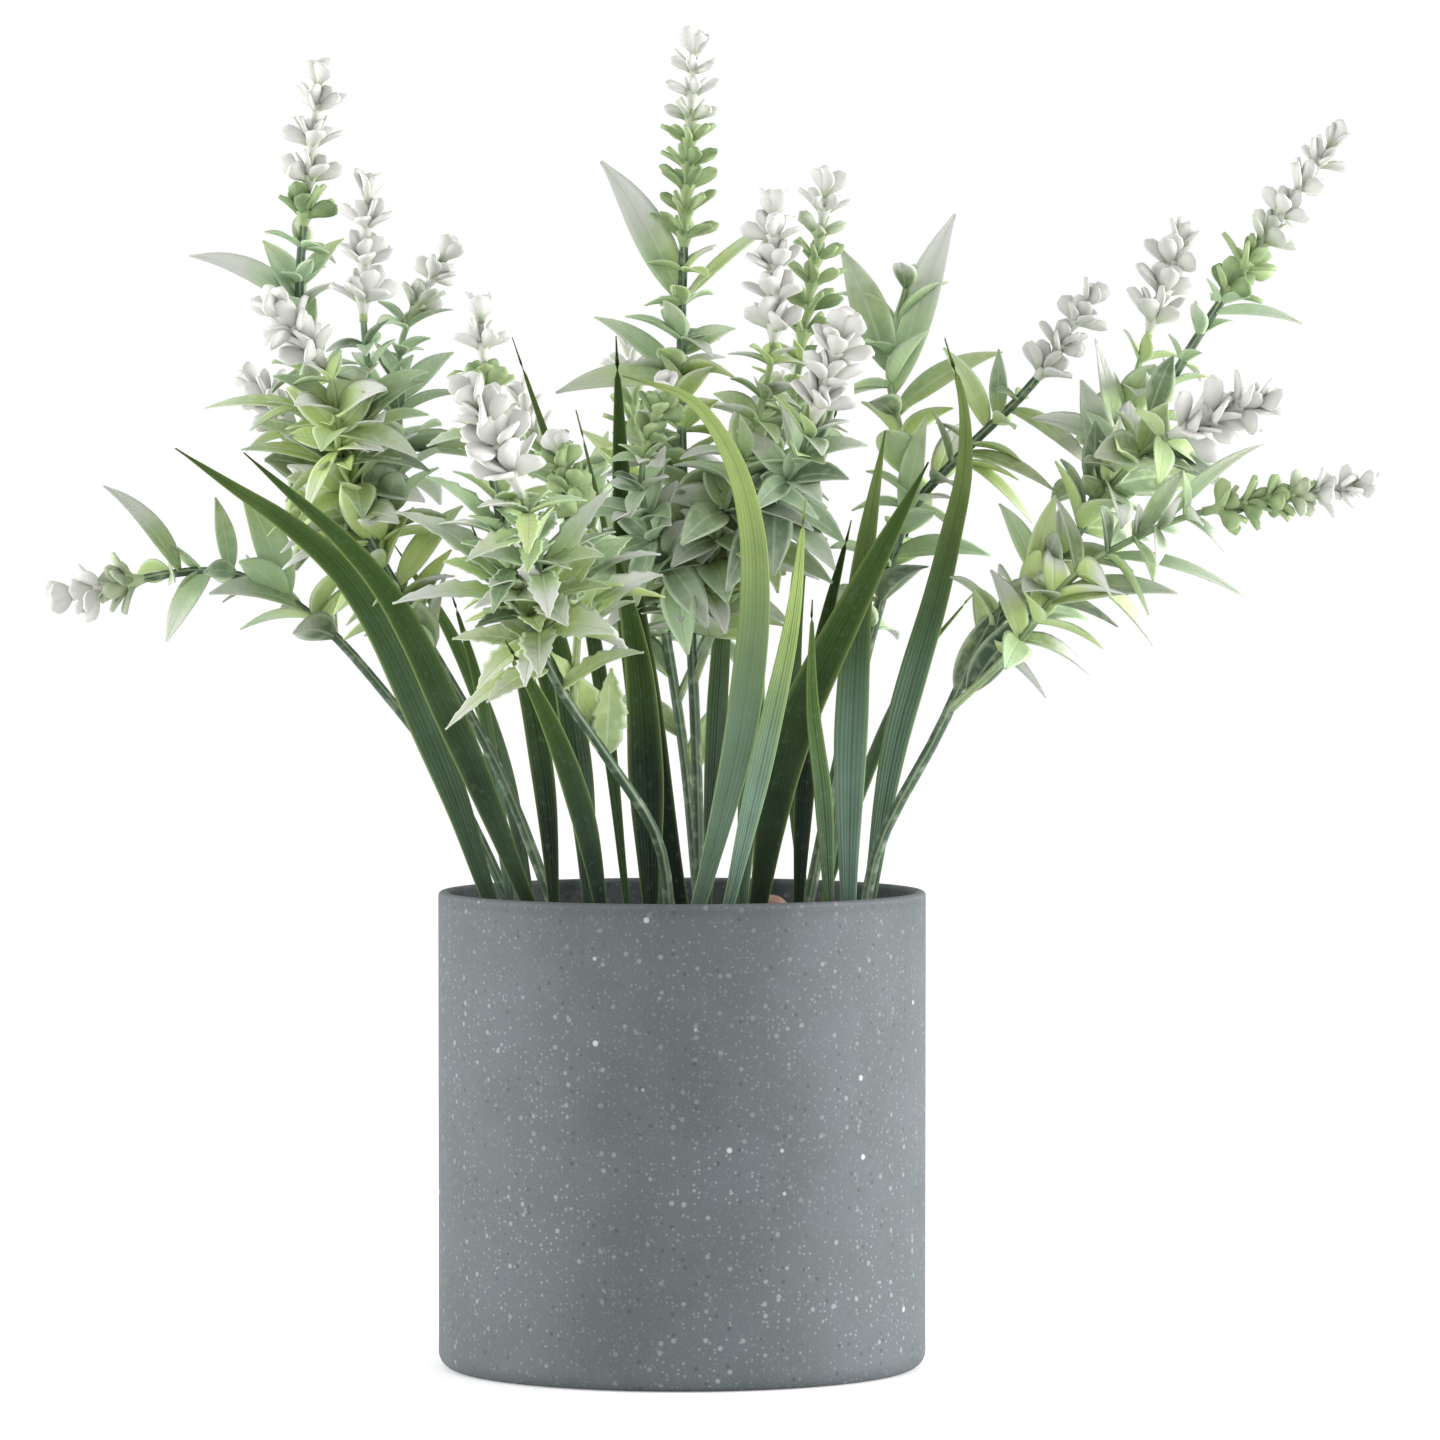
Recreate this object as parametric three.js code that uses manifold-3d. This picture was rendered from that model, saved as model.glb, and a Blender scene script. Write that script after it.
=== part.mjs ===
// A small potted plant: lavender-like flower spikes on leafy stems, with long grass blades, in a plain pot.
// Millimetres, +Z up, front towards -Y. The origin is the centre of the pot's underside.
import * as THREE from "three";
import { mergeVertices } from "three/addons/utils/BufferGeometryUtils.js";
import Module from "manifold-3d";

const wasm = await Module();
wasm.setup();

// Driving dimensions.
const POT_DIAMETER = 90;
const POT_HEIGHT = 88;
const POT_WALL = 2;
const POT_FLOOR = 3;
const LIP_ROUND = 0.8;
const FOOT_ROUND = 3;
const SOIL_DROP = 8; // from the pot's lip down to the soil
const PEBBLE_DIAMETER = 7;
const PLANT_HEIGHT = 164; // from the soil to the highest tip
const CROWN_REACH = 120; // from the pot's axis, at the height of the highest tip
const ROOT_INSET = 5; // between the pot's inner wall and the outermost roots
const SEAT_GAP = 0.3; // between pieces that meet
const BLADE_THICKNESS = 0.9;
const LEAF_THICKNESS = 0.8;
const STEM_DIAMETER = 2.2;
const TWIG_DIAMETER = 1.6;
const SPIKE_DIAMETER = 9.5;
const BLADE_WIDTH_SCALE = 1;

const POT_RADIUS = POT_DIAMETER / 2;
const INNER_RADIUS = POT_RADIUS - POT_WALL;
const SOIL_TOP = POT_HEIGHT - SOIL_DROP;
const ROOT_REACH = INNER_RADIUS - ROOT_INSET;
const ROOT_LEVEL = SOIL_TOP + SEAT_GAP;
const POT_FACETS = 48;
const PEBBLE_FLATNESS = 0.85;
const PEBBLE_PLACE = [0.44, 0.42]; // across and back, as shares of the roots' reach
const BLADE_FOLD = 0.25;
const LEAF_FOLD = 0.25;
const LEAF_BOW = 0.12; // share of the leaf's length
const TIP_SHARE = 0.08; // width left at a point
const WHORL_SPACING = 5;
const WHORL_WAIST = 0.45;
const BLADE_STEPS = 9;
const LEAF_STEPS = 5;
const STEM_STEPS = 8;
const STRETCH_STEPS = 12;
const ARC_STEPS = 4;
const LEAF_FACING = new THREE.Vector3(0.1, -0.75, 0.65);
const STEM_FACING = new THREE.Vector3(0.15, -0.9, 0.4);

const FINISHES = {
  pot: { color: 0x747c7e, roughness: 0.75, metalness: 0 },
  soil: { color: 0x2b231d, roughness: 0.95, metalness: 0 },
  pebble: { color: 0x7b6156, roughness: 0.8, metalness: 0 },
  blade: { color: 0x3f5a3c, roughness: 0.5, metalness: 0 },
  leaf: { color: 0x8fb07a, roughness: 0.55, metalness: 0 },
  flower: { color: 0xdfe3dc, roughness: 0.6, metalness: 0 },
};

// A point of the plan. Each is [across, back, up]: up is a share of the plant's height above the soil, and
// across and back are shares of the crown's reach at that height, which widens from the roots to the top.
function crownPoint([across, back, up]) {
  const reach = THREE.MathUtils.lerp(ROOT_REACH, CROWN_REACH, up);
  return new THREE.Vector3(across * reach, back * reach, ROOT_LEVEL + up * PLANT_HEIGHT);
}

// Grass blades: each runs from its root through its points to its tip. Turn is how far the flat side looks
// away from the front, in degrees.
const BLADES = [
  { name: "outer_left", width: 7.6,
    path: [[-0.88, -0.1, 0], [-0.82, -0.13, 0.207], [-0.87, -0.13, 0.406], [-1.12, -0.15, 0.545]] },
  { name: "second_left", width: 6.8,
    path: [[-0.67, -0.46, 0], [-0.72, -0.39, 0.233], [-0.78, -0.38, 0.402], [-0.96, -0.41, 0.541]] },
  { name: "left_upright", width: 4.4, turn: -35,
    path: [[-0.82, 0.16, 0], [-0.68, 0.16, 0.147], [-0.62, 0.17, 0.271], [-0.62, 0.19, 0.383]] },
  { name: "left_inner", width: 5.6, turn: 25,
    path: [[-0.61, -0.26, 0], [-0.49, -0.21, 0.174], [-0.47, -0.19, 0.32], [-0.51, -0.18, 0.465]] },
  { name: "left_back", width: 5.2, turn: -40,
    path: [[-0.72, 0.47, 0], [-0.63, 0.46, 0.177], [-0.66, 0.48, 0.324], [-0.74, 0.54, 0.432]] },
  { name: "left_slim_tall", width: 3.8, turn: 30,
    path: [[-0.26, 0.26, 0], [-0.25, 0.2, 0.259], [-0.28, 0.17, 0.485], [-0.34, 0.15, 0.671]] },
  { name: "left_slim_short", width: 3.8, turn: -45,
    path: [[-0.17, 0.45, 0], [-0.15, 0.34, 0.212], [-0.18, 0.3, 0.416], [-0.23, 0.3, 0.587]] },
  { name: "left_middle", width: 6.5, turn: -20,
    path: [[-0.44, -0.08, 0], [-0.36, -0.06, 0.161], [-0.35, -0.06, 0.318], [-0.39, -0.03, 0.464]] },
  { name: "dark_tall", width: 6.6,
    path: [[0.02, -0.03, 0], [-0.1, -0.05, 0.228], [-0.14, -0.07, 0.419], [-0.13, -0.09, 0.67]] },
  { name: "dark_broad", width: 8, turn: 15,
    path: [[-0.15, -0.18, 0], [-0.13, -0.19, 0.163], [-0.13, -0.21, 0.309], [-0.17, -0.23, 0.443]] },
  { name: "front_left_low", width: 5.6, turn: -15,
    path: [[-0.36, -0.58, 0], [-0.36, -0.59, 0.135], [-0.41, -0.67, 0.248], [-0.48, -0.78, 0.337]] },
  { name: "centre_arching", width: 7.2,
    path: [[0.04, -0.66, 0], [0.19, -0.62, 0.269], [0.16, -0.58, 0.467], [0.04, -0.54, 0.59],
      [-0.12, -0.54, 0.625]] },
  { name: "centre_pale", width: 5.6, turn: 20,
    path: [[0.18, -0.78, 0], [0.26, -0.69, 0.204], [0.29, -0.68, 0.358], [0.28, -0.73, 0.49]] },
  { name: "centre_back", width: 6.2, turn: -40,
    path: [[0.12, 0.53, 0], [0.12, 0.47, 0.21], [0.12, 0.46, 0.415], [0.12, 0.49, 0.576]] },
  { name: "centre_back_left", width: 5.8, turn: -120,
    path: [[-0.1, 0.79, 0], [-0.11, 0.87, 0.182], [-0.14, 0.91, 0.365], [-0.18, 0.96, 0.505]] },
  { name: "right_broad", width: 8.8,
    path: [[0.34, -0.41, 0], [0.35, -0.34, 0.215], [0.45, -0.31, 0.363], [0.55, -0.27, 0.53]] },
  { name: "right_upright", width: 7.4,
    path: [[0.8, -0.31, 0], [0.55, -0.23, 0.22], [0.46, -0.2, 0.409], [0.44, -0.19, 0.565]] },
  { name: "right_arching", width: 6.4,
    path: [[0.89, 0.05, 0], [0.71, 0.04, 0.21], [0.67, 0, 0.419], [0.62, -0.04, 0.565],
      [0.52, -0.05, 0.668]] },
  { name: "right_inner", width: 5.4, turn: -30,
    path: [[0.56, -0.1, 0], [0.44, -0.08, 0.173], [0.4, -0.05, 0.318], [0.41, -0.03, 0.464]] },
  { name: "right_inner_low", width: 5, turn: 35,
    path: [[0.71, -0.51, 0], [0.5, -0.47, 0.156], [0.39, -0.47, 0.267], [0.34, -0.49, 0.379]] },
  { name: "right_back", width: 5.8, turn: 40,
    path: [[0.69, 0.53, 0], [0.56, 0.52, 0.176], [0.54, 0.55, 0.334], [0.58, 0.63, 0.46]] },
  { name: "right_back_tall", width: 5.2, turn: -35,
    path: [[0.61, 0.45, 0], [0.37, 0.34, 0.223], [0.31, 0.3, 0.439], [0.34, 0.3, 0.61]] },
  { name: "back_middle", width: 6.2, turn: 160,
    path: [[0.29, 0.9, 0], [0.25, 0.9, 0.159], [0.22, 0.97, 0.307], [0.22, 1.12, 0.41]] },
  { name: "back_left", width: 5.8, turn: -140,
    path: [[-0.41, 0.85, 0], [-0.4, 0.86, 0.16], [-0.44, 0.92, 0.308], [-0.54, 1.05, 0.411]] },
  { name: "back_right", width: 5.8, turn: 130,
    path: [[0.66, 0.66, 0], [0.66, 0.72, 0.15], [0.71, 0.81, 0.286], [0.82, 0.96, 0.376]] },
];

// Leafy stems. A branch runs through its points, a side branch starting on its parent at the share named
// fork. Bare is the share of its length before the flower spike. A leaf grows from a branch at the share
// named along, and its tip is so many millimetres right, back and up from there.
const LEAFY_STEMS = [
  {
    name: "left",
    branches: [
      {
        path: [[-0.58, 0.05, 0], [-0.64, 0.08, 0.182], [-0.75, 0.03, 0.374], [-0.79, 0, 0.52],
          [-0.75, -0.02, 0.677], [-0.57, -0.05, 0.959]], bare: 0.83 },
      { parent: 0, fork: 0.53,
        path: [[-0.66, -0.11, 0.599], [-0.61, -0.15, 0.699], [-0.54, -0.17, 0.826]], bare: 0.62 },
      { parent: 0, fork: 0.46,
        path: [[-0.63, 0.1, 0.554], [-0.56, 0.13, 0.667], [-0.44, 0.14, 0.76]], bare: 0.77 },
      { parent: 0, fork: 0.56,
        path: [[-0.74, -0.16, 0.576], [-0.72, -0.2, 0.63], [-0.77, -0.23, 0.692]], bare: 0.69 },
      { parent: 0, fork: 0.51,
        path: [[-0.83, 0.17, 0.519], [-0.85, 0.21, 0.565], [-0.9, 0.25, 0.612]], bare: 0.70 },
    ],
    leaves: [
      { branch: 0, along: 0.75, tip: [-7, 6, 12], width: 6.6 },
      { branch: 0, along: 0.75, tip: [-20, -4, 9], width: 6.2 },
      { branch: 0, along: 0.77, tip: [8, 4, 9], width: 3.6 },
      { branch: 0, along: 0.63, tip: [-21, 6, 1], width: 3.0 },
      { branch: 0, along: 0.57, tip: [-17, -5, 3], width: 3.0 },
      { branch: 0, along: 0.53, tip: [-9, -7, -4], width: 4.5 },
      { branch: 2, along: 0.51, tip: [10, 5, 9], width: 4.5 },
      { branch: 0, along: 0.45, tip: [-10, 9, 9], width: 5.0 },
      { branch: 0, along: 0.42, tip: [12, 8, 15], width: 5.0 },
      { branch: 1, along: 0.29, tip: [11, -8, 7], width: 4.2 },
    ],
  },
  {
    name: "low_left",
    branches: [
      {
        path: [[-0.78, 0.26, 0], [-0.84, 0.27, 0.173], [-0.92, 0.25, 0.262], [-1.03, 0.22, 0.356],
          [-1.2, 0.2, 0.404], [-1.63, 0.17, 0.381]], bare: 0.88 },
    ],
    leaves: [
      { branch: 0, along: 0.83, tip: [-14, -4, 16], width: 6.0 },
      { branch: 0, along: 0.78, tip: [-8, -6, -13], width: 5.6 },
      { branch: 0, along: 0.75, tip: [-3, 4, 14], width: 4.2 },
      { branch: 0, along: 0.65, tip: [-9, -3, 21], width: 7.4 },
      { branch: 0, along: 0.62, tip: [-17, -9, 3], width: 8.0 },
      { branch: 0, along: 0.59, tip: [13, -4, 8], width: 4.0 },
    ],
  },
  {
    name: "front_left",
    branches: [
      {
        path: [[-0.05, -0.31, 0], [-0.09, -0.36, 0.107], [-0.24, -0.48, 0.198], [-0.37, -0.58, 0.291],
          [-0.42, -0.63, 0.391], [-0.42, -0.59, 0.522], [-0.38, -0.53, 0.69]], bare: 0.87 },
      { parent: 0, fork: 0.52,
        path: [[-0.35, -0.69, 0.424], [-0.37, -0.7, 0.512], [-0.42, -0.69, 0.596]], bare: 0.65 },
      { parent: 0, fork: 0.40,
        path: [[-0.29, -0.46, 0.334], [-0.24, -0.39, 0.422], [-0.27, -0.31, 0.543]], bare: 0.71 },
    ],
    leaves: [
      { branch: 0, along: 0.31, tip: [-10, -6, 19], width: 7.2 },
      { branch: 0, along: 0.31, tip: [1, -6, 16], width: 7.2 },
      { branch: 0, along: 0.59, tip: [-23, -6, 0], width: 5.6 },
      { branch: 0, along: 0.61, tip: [-22, 4, 14], width: 5.6 },
      { branch: 0, along: 0.68, tip: [-14, -6, 12], width: 5.2 },
      { branch: 0, along: 0.51, tip: [-16, 4, 2], width: 5.4 },
      { branch: 0, along: 0.48, tip: [-11, -8, -6], width: 5.2 },
      { branch: 0, along: 0.56, tip: [0, -14, 11], width: 6.0 },
      { branch: 0, along: 0.49, tip: [-18, -4, -12], width: 3.8 },
      { branch: 1, along: 0.25, tip: [13, -6, 18], width: 5.6 },
      { branch: 2, along: 0.35, tip: [15, -8, 8], width: 6.0 },
      { branch: 2, along: 0.27, tip: [4, -9, 10], width: 5.4 },
      { branch: 1, along: 0.46, tip: [-12, -10, -4], width: 5.2 },
      { branch: 0, along: 0.44, tip: [15, -10, 7], width: 5.0 },
    ],
  },
  {
    name: "centre",
    branches: [
      {
        path: [[0.09, 0.16, 0], [0.05, 0.11, 0.192], [0.02, 0.07, 0.373], [-0, 0.05, 0.542],
          [-0, 0.03, 0.711], [0.02, 0, 0.997]], bare: 0.77 },
      { parent: 0, fork: 0.28,
        path: [[0.16, 0, 0.441], [0.23, -0.05, 0.576], [0.24, -0.06, 0.677],
          [0.25, -0.08, 0.837]], bare: 0.69 },
      { parent: 0, fork: 0.35,
        path: [[0.11, -0.13, 0.487], [0.17, -0.16, 0.599], [0.18, -0.17, 0.677],
          [0.16, -0.16, 0.806]], bare: 0.71 },
      { parent: 1, fork: 0.29,
        path: [[0.25, -0.2, 0.515], [0.28, -0.26, 0.577], [0.31, -0.28, 0.67]], bare: 0.67 },
      { parent: 0, fork: 0.37,
        path: [[-0.08, -0.16, 0.454], [-0.09, -0.22, 0.521], [-0.04, -0.25, 0.604]], bare: 0.76 },
    ],
    leaves: [
      { branch: 0, along: 0.71, tip: [-15, 2, 26], width: 7.4 },
      { branch: 0, along: 0.62, tip: [-16, 4, 12], width: 4.6 },
      { branch: 0, along: 0.62, tip: [-23, -6, -2], width: 5.2 },
      { branch: 0, along: 0.41, tip: [-17, -7, 6], width: 7.4 },
      { branch: 0, along: 0.71, tip: [21, 10, 16], width: 2.6 },
      { branch: 0, along: 0.65, tip: [10, 6, 5], width: 4.6 },
      { branch: 1, along: 0.29, tip: [16, -6, -7], width: 5.4 },
      { branch: 2, along: 0.39, tip: [15, -8, -7], width: 5.0 },
      { branch: 0, along: 0.52, tip: [-13, 8, 7], width: 4.6 },
      { branch: 4, along: 0.50, tip: [-10, -6, 3], width: 4.6 },
      { branch: 1, along: 0.53, tip: [12, 6, -3], width: 4.8 },
    ],
  },
  {
    name: "centre_right",
    branches: [
      {
        path: [[0.59, 0.21, 0], [0.54, 0.19, 0.191], [0.54, 0.18, 0.35], [0.55, 0.16, 0.469],
          [0.63, 0.1, 0.537], [0.73, 0.05, 0.616], [0.78, 0.02, 0.709]], bare: 0.86 },
      { parent: 0, fork: 0.59,
        path: [[0.49, 0.2, 0.553], [0.43, 0.21, 0.633], [0.43, 0.22, 0.752]], bare: 1 },
    ],
    leaves: [
      { branch: 1, along: 0.58, tip: [-9, 4, 23], width: 7.4 },
      { branch: 1, along: 0.49, tip: [12, 8, 34], width: 7.6 },
      { branch: 1, along: 0.43, tip: [20, 4, 11], width: 5.0 },
      { branch: 0, along: 0.59, tip: [4, -7, 20], width: 5.0 },
      { branch: 0, along: 0.54, tip: [18, -3, 0], width: 5.4 },
      { branch: 0, along: 0.72, tip: [17, -6, -7], width: 3.6 },
      { branch: 0, along: 0.71, tip: [14, 2, -12], width: 3.6 },
      { branch: 0, along: 0.81, tip: [16, 5, -11], width: 4.6 },
      { branch: 0, along: 0.77, tip: [-8, 4, 15], width: 5.0 },
      { branch: 0, along: 0.79, tip: [0, -6, 13], width: 3.6 },
    ],
  },
  {
    name: "right",
    branches: [
      {
        path: [[0.87, -0.21, 0], [0.78, -0.2, 0.093], [0.83, -0.19, 0.227], [0.85, -0.18, 0.337],
          [0.95, -0.17, 0.42], [0.99, -0.14, 0.526], [1.02, -0.1, 0.683],
          [1.08, -0.05, 0.892]], bare: 0.78 },
      { parent: 0, fork: 0.26,
        path: [[0.93, -0.31, 0.316], [1, -0.37, 0.405], [1.11, -0.4, 0.45], [1.22, -0.42, 0.475],
          [1.55, -0.43, 0.506]], bare: 0.69 },
      { parent: 0, fork: 0.50,
        path: [[0.96, 0.02, 0.554], [0.93, 0.07, 0.661], [0.91, 0.08, 0.773]], bare: 0.71 },
      { parent: 0, fork: 0.54,
        path: [[1.03, -0.27, 0.549], [1.1, -0.31, 0.571], [1.2, -0.32, 0.597]], bare: 0.55 },
    ],
    leaves: [
      { branch: 0, along: 0.28, tip: [8, -5, 16], width: 6.0 },
      { branch: 1, along: 0.06, tip: [13, -4, 15], width: 6.4 },
      { branch: 0, along: 0.77, tip: [16, -6, -2], width: 2.6 },
      { branch: 2, along: 0.36, tip: [-4, -4, 19], width: 4.6 },
      { branch: 1, along: 0.59, tip: [20, 9, 15], width: 2.8 },
      { branch: 1, along: 0.46, tip: [26, -4, -7], width: 3.4 },
      { branch: 1, along: 0.32, tip: [23, -8, 2], width: 5.2 },
      { branch: 0, along: 0.42, tip: [4, -6, 17], width: 5.0 },
      { branch: 0, along: 0.37, tip: [12, 7, 2], width: 4.6 },
      { branch: 0, along: 0.58, tip: [-6, 6, 10], width: 4.6 },
      { branch: 1, along: 0.55, tip: [9, 6, 12], width: 3.6 },
      { branch: 0, along: 0.43, tip: [-7, 8, 14], width: 4.6 },
    ],
  },
  {
    name: "back",
    branches: [
      {
        path: [[0.09, 0.63, 0], [0.01, 0.6, 0.186], [-0.06, 0.63, 0.368], [-0.1, 0.67, 0.518],
          [-0.11, 0.7, 0.657]], bare: 0.84 },
      { parent: 0, fork: 0.37,
        path: [[0.13, 0.66, 0.391], [0.21, 0.71, 0.529], [0.25, 0.74, 0.658]], bare: 0.72 },
      { parent: 0, fork: 0.51,
        path: [[-0.21, 0.76, 0.436], [-0.31, 0.82, 0.517], [-0.36, 0.83, 0.599]], bare: 0.68 },
    ],
    leaves: [
      { branch: 0, along: 0.41, tip: [-13, 8, 11], width: 5.6 },
      { branch: 0, along: 0.60, tip: [11, 9, 13], width: 5.4 },
      { branch: 0, along: 0.73, tip: [-12, 6, 13], width: 5.0 },
      { branch: 1, along: 0.46, tip: [14, 8, -0], width: 5.6 },
      { branch: 1, along: 0.36, tip: [-8, 8, 18], width: 5.0 },
      { branch: 2, along: 0.35, tip: [-11, 9, -7], width: 5.2 },
      { branch: 2, along: 0.50, tip: [4, 10, 17], width: 4.6 },
      { branch: 0, along: 0.24, tip: [10, 14, 16], width: 5.6 },
      { branch: 0, along: 0.31, tip: [-13, 14, 7], width: 5.6 },
    ],
  },
];

// The solid of a closed geometry.
function solidOf(geometry) {
  const bare = geometry.clone();
  bare.deleteAttribute("normal");
  bare.deleteAttribute("uv");
  const merged = mergeVertices(bare, 1e-4);
  return new wasm.Manifold(
    new wasm.Mesh({
      numProp: 3,
      vertProperties: merged.attributes.position.array,
      triVerts: new Uint32Array(merged.index.array),
    }),
  );
}

// One geometry from pieces that grow into each other. A pocket sealed in between them is filled.
function joined(geometries) {
  const whole = geometries.map(solidOf).reduce((sum, piece) => sum.add(piece));
  const outsides = whole.decompose().filter((shell) => shell.volume() > 0);
  const mesh = wasm.Manifold.compose(outsides).getMesh();
  return new THREE.BufferGeometry()
    .setAttribute("position", new THREE.BufferAttribute(mesh.vertProperties, 3))
    .setIndex(new THREE.BufferAttribute(mesh.triVerts, 1));
}

// A closed bar bent along a curve. Its section has so many sides and is stretched to a width and a thickness,
// which are functions of the share of the curve's length. Facing is where its flat side looks, and fold
// raises both edges by that share of the half width. A rooted bar ends level where it starts.
function bentBar(curve, { sides, steps, width, thickness, facing, fold = 0, rooted = false }) {
  const bar = new THREE.CylinderGeometry(1, 1, 1, sides, steps);
  const corners = bar.attributes.position;
  for (let i = 0; i < corners.count; i++) {
    const along = corners.getY(i) + 0.5;
    const ahead = curve.getTangentAt(along);
    const side = new THREE.Vector3().crossVectors(ahead, facing).normalize();
    const front = new THREE.Vector3().crossVectors(side, ahead);
    const across = (corners.getX(i) * width(along)) / 2;
    const outwards = (corners.getZ(i) * thickness(along)) / 2 + fold * Math.abs(across);
    const place = curve.getPointAt(along).addScaledVector(side, across).addScaledVector(front, outwards);
    const level = rooted && along < 0.5 / steps;
    corners.setXYZ(i, place.x, place.y, level ? ROOT_LEVEL : place.z);
  }
  return bar;
}

// The stretch of a curve between two shares of its length.
function stretchOf(curve, from, to) {
  const points = [];
  for (let i = 0; i <= STRETCH_STEPS; i++) {
    points.push(curve.getPointAt(THREE.MathUtils.lerp(from, to, i / STRETCH_STEPS)));
  }
  return new THREE.CatmullRomCurve3(points);
}

// A quarter circle of profile points round a centre, from one angle to another, in radians.
function arcPoints(x, y, radius, from, to) {
  const arc = new THREE.EllipseCurve(x, y, radius, radius, from, to, to < from);
  return arc.getPoints(ARC_STEPS);
}

function potGeometry() {
  const profile = [
    new THREE.Vector2(0, 0),
    ...arcPoints(POT_RADIUS - FOOT_ROUND, FOOT_ROUND, FOOT_ROUND, -Math.PI / 2, 0),
    ...arcPoints(POT_RADIUS - LIP_ROUND, POT_HEIGHT - LIP_ROUND, LIP_ROUND, 0, Math.PI / 2),
    ...arcPoints(INNER_RADIUS + LIP_ROUND, POT_HEIGHT - LIP_ROUND, LIP_ROUND, Math.PI / 2, Math.PI),
    new THREE.Vector2(INNER_RADIUS, POT_FLOOR),
    new THREE.Vector2(0, POT_FLOOR),
  ];
  return new THREE.LatheGeometry(profile, POT_FACETS).rotateX(Math.PI / 2);
}

function soilGeometry() {
  const height = SOIL_TOP - POT_FLOOR - SEAT_GAP;
  const radius = INNER_RADIUS - SEAT_GAP;
  return new THREE.CylinderGeometry(radius, radius, height, POT_FACETS).rotateX(Math.PI / 2);
}

function pebbleGeometry() {
  return new THREE.SphereGeometry(PEBBLE_DIAMETER / 2, 12, 8).scale(1, 0.9, PEBBLE_FLATNESS);
}

// A blade narrows to its root, is widest before the middle of its length and ends in a point.
function bladeGeometry({ width, path, turn = 0 }) {
  const angle = THREE.MathUtils.degToRad(turn);
  const swell = (along) => 0.4 + 0.6 * THREE.MathUtils.smoothstep(along, 0, 0.45);
  const point = (along) => Math.max(TIP_SHARE, 1 - along ** 3);
  return bentBar(new THREE.CatmullRomCurve3(path.map(crownPoint)), {
    sides: 4,
    steps: BLADE_STEPS,
    width: (along) => width * BLADE_WIDTH_SCALE * swell(along) * point(along),
    thickness: (along) => BLADE_THICKNESS * Math.max(0.6, point(along)),
    facing: new THREE.Vector3(Math.sin(angle), -Math.cos(angle), 0),
    fold: BLADE_FOLD,
    rooted: true,
  });
}

// A lance-shaped leaf that bows upwards between its base and its tip.
function leafGeometry(base, tip, width) {
  const reach = new THREE.Vector3(...tip);
  const middle = base.clone().addScaledVector(reach, 0.5);
  middle.z += LEAF_BOW * reach.length();
  const curve = new THREE.QuadraticBezierCurve3(base, middle, base.clone().add(reach));
  return bentBar(curve, {
    sides: 4,
    steps: LEAF_STEPS,
    width: (along) => width * Math.max(2 * TIP_SHARE, Math.sin(Math.PI * along ** 0.8)),
    thickness: () => LEAF_THICKNESS,
    facing: LEAF_FACING,
    fold: LEAF_FOLD,
  });
}

function stemGeometry(curve, rooted) {
  const startDiameter = rooted ? STEM_DIAMETER : TWIG_DIAMETER;
  const diameter = (along) => THREE.MathUtils.lerp(startDiameter, TWIG_DIAMETER, along);
  return bentBar(curve, {
    sides: 6,
    steps: STEM_STEPS,
    width: diameter,
    thickness: diameter,
    facing: STEM_FACING,
    rooted,
  });
}

// A flower spike: whorls of florets as swellings along its axis, smaller at both ends.
function spikeGeometry(curve) {
  const whorls = Math.max(3, Math.round(curve.getLength() / WHORL_SPACING));
  const diameter = (along) => {
    const onWhorl = Math.round(along * 2 * whorls) % 2 === 1;
    const spread = 0.6 + 0.4 * Math.sin(Math.PI * along ** 0.7);
    return SPIKE_DIAMETER * spread * (onWhorl ? 1 : WHORL_WAIST);
  };
  return bentBar(curve, {
    sides: 7,
    steps: 2 * whorls,
    width: diameter,
    thickness: diameter,
    facing: STEM_FACING,
  });
}

function meshOf(name, geometry, finish) {
  const mesh = new THREE.Mesh(geometry, new THREE.MeshStandardMaterial(FINISHES[finish]));
  mesh.name = name;
  return mesh;
}

// The curve of every branch of a leafy stem, parents first.
function branchCurves(branches) {
  const curves = [];
  for (const { parent, fork, path } of branches) {
    const points = path.map(crownPoint);
    if (parent !== undefined) {
      points.unshift(curves[parent].getPointAt(fork));
    }
    curves.push(new THREE.CatmullRomCurve3(points));
  }
  return curves;
}

// A stem with its branches and leaves in one piece, and a flower spike seated on the end of each branch.
function leafyStem({ name, branches, leaves }) {
  const curves = branchCurves(branches);
  const plant = new THREE.Group();
  const grown = branches.map(({ parent, bare }, i) => {
    return stemGeometry(stretchOf(curves[i], 0, bare), parent === undefined);
  });
  for (const { branch, along, tip, width } of leaves) {
    grown.push(leafGeometry(curves[branch].getPointAt(along), tip, width));
  }
  plant.add(meshOf(`leafy_stem_${name}`, joined(grown), "leaf"));
  branches.forEach(({ bare }, i) => {
    if (bare < 1) {
      const seat = bare + SEAT_GAP / curves[i].getLength();
      const spike = spikeGeometry(stretchOf(curves[i], seat, 1));
      plant.add(meshOf(`flower_spike_${name}_${i + 1}`, spike, "flower"));
    }
  });
  return plant;
}

const part = new THREE.Group();
part.name = "potted_flowering_plant";
part.add(meshOf("pot", potGeometry(), "pot"));

const soil = meshOf("soil", soilGeometry(), "soil");
soil.position.z = (SOIL_TOP + POT_FLOOR + SEAT_GAP) / 2;
part.add(soil);

const pebble = meshOf("pebble", pebbleGeometry(), "pebble");
pebble.position.copy(crownPoint([PEBBLE_PLACE[0], PEBBLE_PLACE[1], 0]));
pebble.position.z += (PEBBLE_DIAMETER * PEBBLE_FLATNESS) / 2;
part.add(pebble);

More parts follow.
